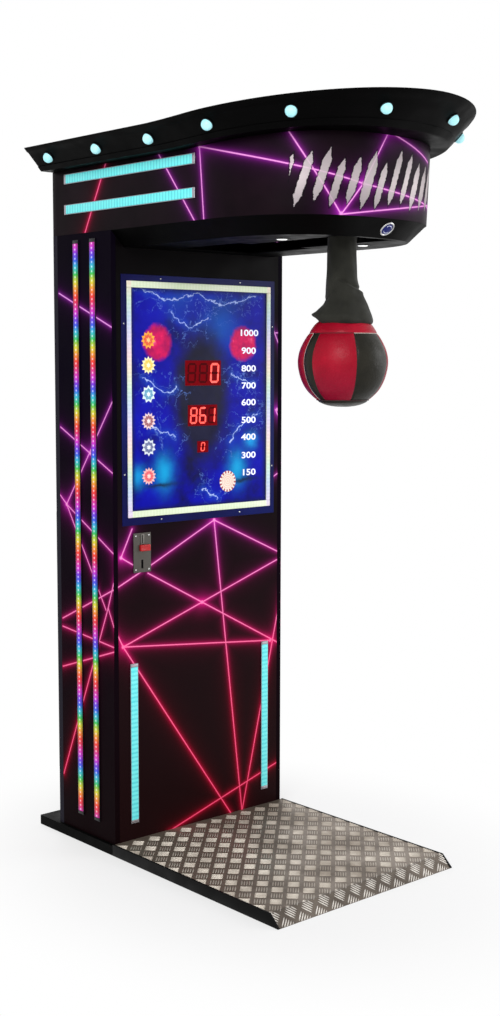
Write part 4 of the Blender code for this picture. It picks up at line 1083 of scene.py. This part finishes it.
SEGMENTS = {"a": ((0, 2), (1, 2)), "b": ((1, 1), (1, 2)), "c": ((1, 0), (1, 1)), "d": ((0, 0), (1, 0)),
            "e": ((0, 0), (0, 1)), "f": ((0, 1), (0, 2)), "g": ((0, 1), (1, 1))}
LIT = {"0": "abcdef", "1": "bc", "6": "acdefg", "8": "abcdefg", " ": ""}


def make_segment(name, start, end, half, front):
    """One bar of a digit: straight sides, and a point at each end."""
    start, end = Vector(start), Vector(end)
    long = (end - start).length
    along = (end - start) / long
    aside = Vector((-along.y, along.x))

    def place(station, row):
        spot = start + along * station + aside * (row * half * (0.0 if station in (gap, long - gap) else 1.0))
        return Vector((spot.x, front, spot.y))

    gap = 0.0006
    bar = skin(name, [gap, gap + half, long - gap - half, long - gap], [-1, 0, 1], place)
    shape(merged(bar), "SOLIDIFY", thickness=0.0003, offset=0)
    return bar


def make_digits(name, shown, centre, wide, tall, pitch, half, lean, lit, unlit, front):
    """A row of seven-bar digits, the unlit bars just visible."""
    bars = {True: [], False: []}
    for i, figure in enumerate(shown):
        left = centre[0] + (i - (len(shown) - 1) / 2) * pitch - wide / 2

        def spot(corner):
            up = corner[1] / 2 * tall
            return (left + corner[0] * wide + (up - tall / 2) * lean, centre[1] - tall / 2 + up)

        for key, (a, b) in SEGMENTS.items():
            on = key in LIT[figure]
            bars[on].append(make_segment(f"{name}_{i}{key}", spot(a), spot(b), half, front))
    for on, finish in ((True, lit), (False, unlit)):
        if bars[on]:
            row = merged(joined(f"{name}_{'lit' if on else 'unlit'}", bars[on]))
            settle(row, finish)


# The three rows of digits: what they show, their centre, each digit's width and height, the pitch, half a bar's
# width, and the lean.
DIGITS = [("score_digits", "  0", (0.008, 1.5355), 0.030, 0.058, 0.048, 0.0036, 0.06),
          ("record_digits", "861", (0.0055, 1.398), 0.024, 0.048, 0.038, 0.0030, 0.06),
          ("credit_digit", "0", (0.006, 1.2955), 0.014, 0.026, 0.02, 0.0018, 0.10)]


def make_display(border, marks):
    make_border(border)
    make_marks(marks)
    make_bursts()
    make_roundel(roundel_finish())
    lit = speckled("digit_lit", "ff3a30", "ff7a68", rough=0.3, glow=0.9, scale=200)
    # The unlit bars are given a faint light of their own: painted glow.
    unlit = speckled("digit_unlit", "4a0006", "3a0004", rough=0.3, specular=0.02, glow=0.1, scale=200)
    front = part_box("digit_board")[0].y - 0.0002
    for row in DIGITS:
        make_digits(*row, lit, unlit, front)


# ---------------------------------------------------------------- the punch ball and its cuff
BALL_CENTRE = Vector(((BALL_LOW.x + BALL_HIGH.x) / 2, (BALL_LOW.y + BALL_HIGH.y) / 2, BALL_LOW.z + 0.130))
BALL_TURN = math.radians(-135)  # the way the widest red gore faces
BALL_PROFILE = [(0.0, -0.1300), (0.022, -0.1292), (0.046, -0.1252), (0.0640, -0.1185), (0.0745, -0.1110),
                (0.101, -0.0850), (0.1180, -0.0550), (0.1275, -0.0220), (0.1295, 0.0050), (0.1245, 0.0320),
                (0.1135, 0.0570), (0.0985, 0.0820), (0.0820, 0.1080), (0.0620, 0.1220), (0.030, 0.1262), (0.0, 0.1265)]
BALL_CAP = -0.1100
SEAMS = [math.radians(d) for d in (-180, -122, -61, -43, 18, 78, 130, 180)]
BLACK_GORES = [(SEAMS[2], SEAMS[3]), (SEAMS[4], SEAMS[5]), (SEAMS[0], SEAMS[1])]


def smooth_line(points, steps):
    """More points along a smooth line through the given ones."""
    ends = [points[0], *points, points[-1]]
    line = []
    for a, b, c, d in zip(ends, ends[1:], ends[2:], ends[3:]):
        for i in range(steps):
            t = i / steps
            line.append(tuple(0.5 * (2 * q + (r - p) * t + (2 * p - 5 * q + 4 * r - s) * t * t
                                     + (3 * q - p - 3 * r + s) * t ** 3) for p, q, r, s in zip(a, b, c, d)))
    return line + [points[-1]]


def ball_radius(angle, radius, height):
    """The profile's radius, swollen between the seams and drawn in along them."""
    near = min(abs(angle - seam) for seam in SEAMS) * radius
    low = max(seam for seam in SEAMS if seam <= angle + 1e-9)
    high = min((seam for seam in SEAMS if seam > angle + 1e-9), default=SEAMS[-1])
    share = (angle - low) / max(1e-6, high - low)
    swell = 0.0020 * math.sin(math.pi * share) * smooth_step(abs(height), 0.125, 0.06)
    crease = -0.0022 * math.exp(-(near / 0.0035) ** 2) * (1 if BALL_CAP < height < SEAM_TOP else 0)
    ring = -0.0020 * math.exp(-((height - SEAM_TOP) / 0.0032) ** 2)
    ring -= 0.0018 * math.exp(-((height - BALL_CAP) / 0.003) ** 2) * (1 if radius > 0.06 else 0)
    return max(0.0, radius + (swell + crease + ring) * min(1.0, radius / 0.03))


def ball_at(angle, row):
    radius, height = row
    wide = ball_radius(angle, radius, height)
    turn = BALL_TURN + angle
    spot = BALL_CENTRE + Vector((wide * math.cos(turn), wide * math.sin(turn), height))
    return spot, (angle, height)


def tube(name, points, radius):
    """A round cord through the points."""
    curve = bpy.data.curves.new(name, "CURVE")
    curve.dimensions = "3D"
    curve.bevel_depth = radius
    curve.bevel_resolution = 2
    curve.use_fill_caps = True
    line = curve.splines.new("POLY")
    line.points.add(len(points) - 1)
    for point, spot in zip(line.points, points):
        point.co = (*spot, 1)
    piece = bpy.data.objects.new(name, curve)
    bpy.context.scene.collection.objects.link(piece)
    take(piece)
    bpy.ops.object.convert(target="MESH")
    return merged(bpy.context.object)


def make_ball(cover, piping, thread):
    angles = [math.radians(2 * i - 180) for i in range(181)]
    rows = smooth_line(BALL_PROFILE, 7)
    ball = merged(skin("ball_cover", angles, rows, ball_at))
    settle(ball, cover, "punch_arm", ["ball"], smooth=60)
    cords = []
    for i, seam in enumerate(SEAMS[1:], 1):
        line = [ball_at(seam, row)[0] for row in rows if BALL_CAP <= row[1] <= SEAM_TOP]
        cords.append((f"ball_seam_{i}", line, *((0.0013, piping) if i == 2 else (0.0009, thread))))
    for name, height, low, high, finish in (
            ("cap", BALL_CAP, SEAMS[0], SEAMS[-1], thread), ("collar", SEAM_TOP, SEAMS[2], SEAMS[4], thread),
            ("collar_right", SEAM_TOP, SEAMS[4], SEAMS[-1], piping),
            ("collar_left", SEAM_TOP, SEAMS[0], SEAMS[2], piping)):
        radius = next(row[0] for row in rows if row[1] >= height)
        ring = [ball_at(lerp(low, high, share), (radius, height))[0] for share in even(60)]
        cords.append(("ball_piping_" + name, ring, 0.0012, finish))
    for name, line, radius, finish in cords:
        settle(tube(name, line, radius), finish, "punch_arm", smooth=60)


# The cuff's outline as it is looked at along BALL_TURN: height, reach to the left, reach to the right.
CUFF_LINE = [(1.683, 0.0800, 0.0830), (1.692, 0.0905, 0.0855), (1.707, 0.0925, 0.0815), (1.722, 0.0770, 0.0755),
             (1.739, 0.0590, 0.0690), (1.752, 0.0545, 0.0630), (1.768, 0.0525, 0.0555), (1.786, 0.0520, 0.0470),
             (1.812, 0.0510, 0.0395), (1.850, 0.0490, 0.0375), (1.900, 0.0480, 0.0365), (1.960, 0.0478, 0.0362)]
CUFF_BEHIND = 0.0438  # the neck's reach backwards, which clears the rubber stop when the arm is up


def cuff_at(angle, row):
    """A place on the cuff: its two outlines, turned into folds that run up from the hem."""
    height, left, right = row
    lean = math.sin(angle)
    half = (left + right) / 2
    loose = smooth_step(height, 1.815, 1.735)
    fold = 0.0042 * loose * math.sin(5 * angle + 0.8) * (1 - abs(lean) * 0.8)
    fold += 0.0005 * math.sin(9 * angle + height * 55)
    crease = 1.808 - 0.026 * lean
    crossing = smooth_step(lean, -0.45, 0.0)
    fold -= 0.0050 * math.exp(-((height - crease) / 0.0045) ** 2) * crossing
    fold += 0.0030 * math.exp(-((height - crease + 0.009) / 0.006) ** 2) * crossing
    swept = 1.752 + 0.06 * smooth_step(-lean, 0.95, 0.25)
    fold -= 0.0024 * math.exp(-((height - swept) / 0.005) ** 2) * smooth_step(-lean, 0.2, 0.5)
    aside = lean * (half + fold) + (right - left) / 2
    ahead = math.cos(angle) * (half * 0.98 + fold)
    hem = 0.016 * smooth_step(-lean, 0.72, 1.0) * smooth_step(height, 1.72, 1.683)
    along = BALL_TURN + math.pi / 2
    centre = Vector((BALL_CENTRE.x, BALL_CENTRE.y, 0))
    spot = centre + Vector((math.cos(BALL_TURN), math.sin(BALL_TURN), 0)) * ahead
    spot += Vector((math.cos(along), math.sin(along), 0)) * aside + Vector((0, 0, height + hem))
    behind = lerp(0.12, CUFF_BEHIND, smooth_step(height, 1.780, 1.805))
    spot.y = min(spot.y, BALL_CENTRE.y + behind)
    return spot, (angle * 0.07, height)


def make_cuff(fabric):
    angles = [2 * math.pi * i / 144 for i in range(145)]
    rows = smooth_line(CUFF_LINE, 7)
    cuff = merged(skin("ball_cuff", angles, rows, cuff_at))
    shape(cuff, "SOLIDIFY", thickness=0.0016, offset=-1)
    settle(cuff, fabric, "punch_arm", ["ball_sleeve"], smooth=70)

# ---------------------------------------------------------------- fittings


def make_screw_model():
    """A pan-head screw, its cross recess cut in: it faces along +Z, its seat at the origin."""
    head = turned("screw", [(0.0, -0.0010), (0.0034, -0.0010), (0.0036, 0.0002), (0.0034, 0.0010), (0.0026, 0.0018),
                            (0.0014, 0.0022), (0.0, 0.0023)], 20)
    for x, y in ((0.0017, 0.00035), (0.00035, 0.0017)):
        cut(head, block("cut", (-x, -y, 0.0012), (x, y, 0.004)))
    return head


def make_screws(model, finish, name, places, turn, size=1.0):
    """Copies of the screw at the places, facing the way that `turn` takes +Z."""
    made = [copied(model, f"{name}_{i}", turn @ Matrix.Scale(size, 4), spot) for i, spot in enumerate(places, 1)]
    settle(joined(name, made), finish)


def rim_places(node, face, inset, across, up):
    """Places round a panel's rim: `across` along its top and bottom, and `up` up each side."""
    low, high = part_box(node)
    spots = []
    for i in range(across):
        x = lerp(low.x + inset, high.x - inset, i / (across - 1))
        spots += [(x, face, low.z + inset), (x, face, high.z - inset)]
    for i in range(1, up + 1):
        z = lerp(low.z + inset, high.z - inset, i / (up + 1))
        spots += [(low.x + inset, face, z), (high.x - inset, face, z)]
    return spots


FORWARD = Matrix.Rotation(math.radians(90), 4, "X")
BACKWARD = Matrix.Rotation(math.radians(-90), 4, "X")


def make_fasteners(bright, dark):
    model = make_screw_model()
    display = [(side * 0.311, DISPLAY_FRONT, z) for side in (-1, 1) for z in (1.690, 1.219)]
    display += [(side * 0.166, DISPLAY_FRONT, z) for side in (-1, 1) for z in (1.8325, 1.0695)]
    make_screws(model, bright, "display_screws", display, FORWARD, 0.8)
    coin = [(x, COIN_LOW.y, z) for x in (COIN_LOW.x + 0.0085, COIN_HIGH.x - 0.0085)
            for z in (COIN_LOW.z + 0.0085, COIN_HIGH.z - 0.0085)]
    make_screws(model, bright, "coin_plate_screws", coin, FORWARD, 0.95)
    for node, across, up in (("back_panel", 4, 4), ("back_kickboard", 4, 0)):
        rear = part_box(node)[1].y
        make_screws(model, dark, node + "_screws", rim_places(node, rear, 0.012, across, up), BACKWARD)
    bpy.data.objects.remove(model)


BADGE_SIZE, BADGE_X, BADGE_Y = 1.3, 0.033, -0.812


def make_badge(chrome, enamel, pale):
    """A round badge on the nose's chamfer: a chrome rim, a domed blue face and two pale arcs."""
    middle = Vector((BADGE_X, BADGE_Y + CHAMFER / 2, lerp(COLUMN_TOP, UNDERSIDE_Z, 0.5)))
    turn = aimed(Vector((0, -1, -1)).normalized())
    rim = turned("badge_rim", [(0.0, -0.0005), (0.0175, -0.0005), (0.0182, 0.0008), (0.0176, 0.0022),
                               (0.0160, 0.0028), (0.0148, 0.0022), (0.0144, 0.0010), (0.0, 0.0008)], 48)
    face = turned("badge_face", [(0.0, 0.0009), (0.0141, 0.0009), (0.0138, 0.0016), (0.0100, 0.0023),
                                 (0.0050, 0.0027), (0.0, 0.0028)], 48)
    arcs = []
    for start in (0.4, 3.54):
        turns = [start + i * 0.14 for i in range(15)]
        arcs.append(tube("arc", [(0.0098 * math.cos(a), 0.0098 * math.sin(a), 0.0024) for a in turns], 0.0010))
    arc = joined("badge_arcs", arcs)
    for piece, finish, slot in ((rim, chrome, "machined_steel"), (face, enamel, "black_plastic"),
                                (arc, pale, "machined_steel")):
        placed(piece, Matrix.Scale(BADGE_SIZE, 4))
        settle(placed(piece, turn, middle), finish, smooth=50)


def make_downlights(bezel, lens_finish):
    """The two lamps in the underside: a pressed bezel round a frosted lens."""
    for side in ("left", "right"):
        low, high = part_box("downlight_" + side)
        middle = (low + high) / 2
        wide = (high.x - low.x) / 2
        top = high.z - low.z
        ring = turned("downlight_bezel_" + side,
                      [(0.0, top), (0.0165, top), (0.0178, top - 0.003), (0.0180, 0.0042), (0.0184, 0.0030),
                       (wide - 0.0006, 0.0024), (wide, 0.0015), (wide - 0.0008, 0.0003), (0.0172, 0.0),
                       (0.0158, 0.0012), (0.0154, 0.0040), (0.0, 0.0042)], 40)
        lens = turned("downlight_lens_" + side,
                      [(0.0, 0.0040), (0.0151, 0.0040), (0.0152, -0.0006), (0.0140, -0.0014), (0.0, -0.0018)], 40)
        for piece, finish, slot, stands_for in ((ring, bezel, "machined_steel", ["downlight_" + side]),
                                                (lens, lens_finish, "white_light", ())):
            merged(placed(piece, move=(middle.x, middle.y, low.z)))
            settle(piece, finish, stands_for=stands_for, smooth=45)


def make_coin_fittings(red, dark):
    """The reject button, dished for a thumb, and the bezel round the coin slot."""
    low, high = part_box("reject_button")
    button = block("reject_button_cap", low, high, 0.0016, 3)
    pick(button, lambda face: face.normal.y < -0.9 and face.area > 0.0002)
    for inwards in (0.0008, 0.0004):
        bpy.ops.mesh.inset(thickness=0.003)
        bpy.ops.transform.translate(value=(0, inwards, 0))
    done()
    settle(button, red, "reject_button", ["reject_button"])
    middle, front = (COIN_LOW.x + COIN_HIGH.x) / 2, COIN_LOW.y
    foot, top = high.z + 0.0010, COIN_HIGH.z - 0.0035

    def bar(name, half, near, far, inset, *edge):
        return block(name, (middle - half, front + near, foot + inset),
                     (middle + half, front + far, top - inset), *edge)

    guide = bar("coin_guide", 0.0075, -0.0016, -0.0001, 0.0, 0.0006)
    settle(cut(guide, bar("slit", 0.0016, -0.004, 0.002, 0.0035)), dark)


def soften(node, width):
    """Rounds a CAD node's edges by modifiers that leave its mesh alone."""
    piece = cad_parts[node]
    modified(piece, "WELD", merge_threshold=0.00001)
    modified(piece, "DECIMATE", decimate_type="DISSOLVE", angle_limit=math.radians(1))
    modified(piece, "BEVEL", width=width, segments=2, limit_method="ANGLE", angle_limit=math.radians(50),
             harden_normals=False)


def dress(finish, *nodes):
    """Gives CAD nodes that stay as they are a better material."""
    for node in nodes:
        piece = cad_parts[node]
        if not piece.material_slots:
            piece.data.materials.append(finish.material)
        for holder in piece.material_slots:
            holder.material = finish.material


def dress_frame():
    dress(column_vinyl(), "side_panel_left", "side_panel_right")
    dress(front_vinyl(), "front_panel")
    dress(display_art(), "display_panel")
    # The dark red windows are given a faint light of their own: painted glow.
    dress(speckled("window_glass", "74000a", "560006", rough=0.3, specular=0.02, glow=0.22, scale=60), "digit_board")
    dress(board_finish(), "base_platform")
    # The plate's third colour is painted shade on the ramp's slope.
    dress(tread_finish("tread_base", "85796d", "62584e", "322c26"), "tread_plate")
    dress(moulded("rear_laminate", "121214", rough=0.5), "back_panel", "back_kickboard", "rear_door")
    dress(painted("frame_paint", "8c9094"), "steel_frame")
    dress(metal("turned_steel", "b8babc", brushed=(1.0, 0.15, 1.0)), "pivot_axle", "solenoid_plunger", "door_lock")
    dress(metal("zinc_steel", "a8aaa6", rough=0.42), "bearing_left", "bearing_right", "latch_hook", "coin_chute",
          "cash_box", "power_supply", "door_hinge", "solenoid_body")
    dress(painted("arm_paint", "1a1a1c", rough=0.4), "swing_arm")
    dress(speckled("rubber", "141414", "2a2826", rough=0.75, specular=0.2, scale=60), "rubber_stop")
    dress(moulded("black_plastic", "17171a", rough=0.42), "coin_acceptor", "speed_sensor", "power_inlet",
          "power_switch")
    dress(speckled("circuit_green", "14502c", "0c3a20", rough=0.4, scale=120), "control_board")
    dress(metal("zinc_plate", "5a5753", rough=0.45, brushed=(1.0, 1.0, 0.1)), "coin_faceplate")
    for node, width in (("side_panel_left", 0.0008), ("side_panel_right", 0.0008), ("base_platform", 0.0012),
                        ("coin_faceplate", 0.0005), ("rear_door", 0.0010), ("back_panel", 0.0008),
                        ("cash_box", 0.0010), ("power_supply", 0.0008), ("coin_acceptor", 0.0010),
                        ("power_inlet", 0.0006), ("power_switch", 0.0005), ("display_panel", 0.0003)):
        soften(node, width)


# ---------------------------------------------------------------- the stage
CAMERA_AT = (-2.936, -3.572, 1.580)
CAMERA_YAW, CAMERA_TILT, CAMERA_ROLL = -41.405, 83.997, 0.133
LENS = 50.07


def make_camera():
    bpy.ops.object.camera_add(location=CAMERA_AT)
    camera = bpy.context.object
    turn = (Matrix.Rotation(math.radians(CAMERA_YAW), 4, "Z") @ Matrix.Rotation(math.radians(CAMERA_TILT), 4, "X")
            @ Matrix.Rotation(math.radians(CAMERA_ROLL), 4, "Z"))
    camera.rotation_euler = turn.to_euler()
    camera.data.lens = LENS
    camera.data.sensor_width = 36
    bpy.context.scene.camera = camera


def make_lamp(name, spot, aim, size, power):
    bpy.ops.object.light_add(type="AREA", location=spot)
    lamp = bpy.context.object
    lamp.name = name
    lamp.data.size = size
    lamp.data.energy = power
    lamp.rotation_euler = (Vector(aim) - Vector(spot)).to_track_quat("-Z", "Y").to_euler()


def seen(nodes):
    """1 for what the camera sees, straight, mirrored or through glass."""
    rays = nodes.tree.nodes.new("ShaderNodeLightPath").outputs
    kinds = ("Camera", "Glossy", "Transmission")
    return functools.reduce(most, (Value(nodes, rays[f"Is {kind} Ray"]) for kind in kinds))


def make_stage():
    """A pale floor that fades to white, soft lamps and a plain white world."""
    bpy.ops.mesh.primitive_plane_add(size=60, location=(0, 0, -0.0005))
    floor = bpy.context.object
    floor.name = "studio_floor"
    finish = Finish("studio_floor", "f2f2f2", rough=0.9, specular=0.0)
    far = finish.step(finish.away(finish.object, (0, -0.3, 0), (1.0, 0.8, 0.0)), 0.50, 1.05, (0.62, 1.0))
    white = finish.node("Emission", named={"Strength": 1.0})
    blend = finish.node("MixShader", seen(finish) * far, Value(finish, finish.shader.outputs[0]), white)
    finish.put(finish.tree.nodes["Material Output"].inputs[0], blend)
    floor.data.materials.append(finish.material)

    world = bpy.data.worlds.new("studio")
    bpy.context.scene.world = world
    world.use_nodes = True
    nodes = Nodes(world.node_tree)
    back = nodes.tree.nodes["Background"].inputs
    nodes.put(back["Color"], (1, 1, 1, 1))
    nodes.put(back["Strength"], nodes.node("MapRange", seen(nodes), named={"To Min": 0.50, "To Max": 1.0}))

    make_lamp("key", (-3.2, -3.0, 3.6), (0, -0.2, 1.2), 2.4, 130)
    make_lamp("fill", (3.4, -2.6, 2.2), (0, 0, 1.2), 2.6, 60)
    make_lamp("rear", (1.5, 3.6, 3.0), (0, 0, 1.4), 2.6, 70)
    bpy.context.scene.view_settings.view_transform = "Standard"


# ---------------------------------------------------------------- making it all
make_camera()
make_stage()
dress_frame()
gloss_black = moulded("black_moulding", "030303", rough=0.45, specular=0.02)
channel = metal("channel_aluminium", "b4b0b8", rough=0.35, brushed=(1.0, 1.0, 0.1), soil=0.1)
chrome = metal("bright_steel", "c8c8c8", rough=0.22, soil=0.15)
dark_screw = metal("blackened_steel", "3a3a3c", rough=0.4)
make_head_wall(head_vinyl())
make_underside(gloss_black)
make_crown(gloss_black)
make_bulbs(speckled("bulb_glow", "88d0da", "c0ecf0", glow=0.5, scale=60, share=0.8), moulded("bulb_bezel", "10181a"))
make_strips(channel, dark_screw)
# The bars are a brighter copy of the plate's finish, partly trodden bright and partly painted highlight; the third
# colour is painted highlight on the ramp's slope.
make_tread(tread_finish("tread_bars_bright", "c6beb2", "a0968a", "e0dcd6"))
make_edging(moulded("edging_black", "070707", rough=0.5, specular=0.08))
# The white score marks are given a light of their own: painted glow.
make_display(border_diffuser(), speckled("mark_white", "eef0ff", "b8c0e8", glow=0.35, scale=120, share=0.25))
make_ball(leather(), speckled("piping_white", "c8bcb4", "8c7a74", rough=0.5, scale=300),
          speckled("thread_dark", "30080e", "120a0a", rough=0.5, scale=300))
make_cuff(cuff_fabric())
make_fasteners(chrome, dark_screw)
make_badge(chrome, speckled("badge_enamel", "101c70", "080c38", rough=0.25, specular=0.1, scale=90),
           metal("badge_silver", "c4c8e4", rough=0.3, soil=0.05))
make_downlights(metal("downlight_steel", "3c3c3c", rough=0.4, soil=0.1),
                speckled("downlight_lens", "f4f4f0", "d8e4ea", rough=0.4, glow=1.0, scale=150, share=0.3))
make_coin_fittings(speckled("button_red", "c01c20", "7c0c10", rough=0.28, scale=70, share=0.5),
                   metal("guide_zinc", "6a6763", rough=0.4))
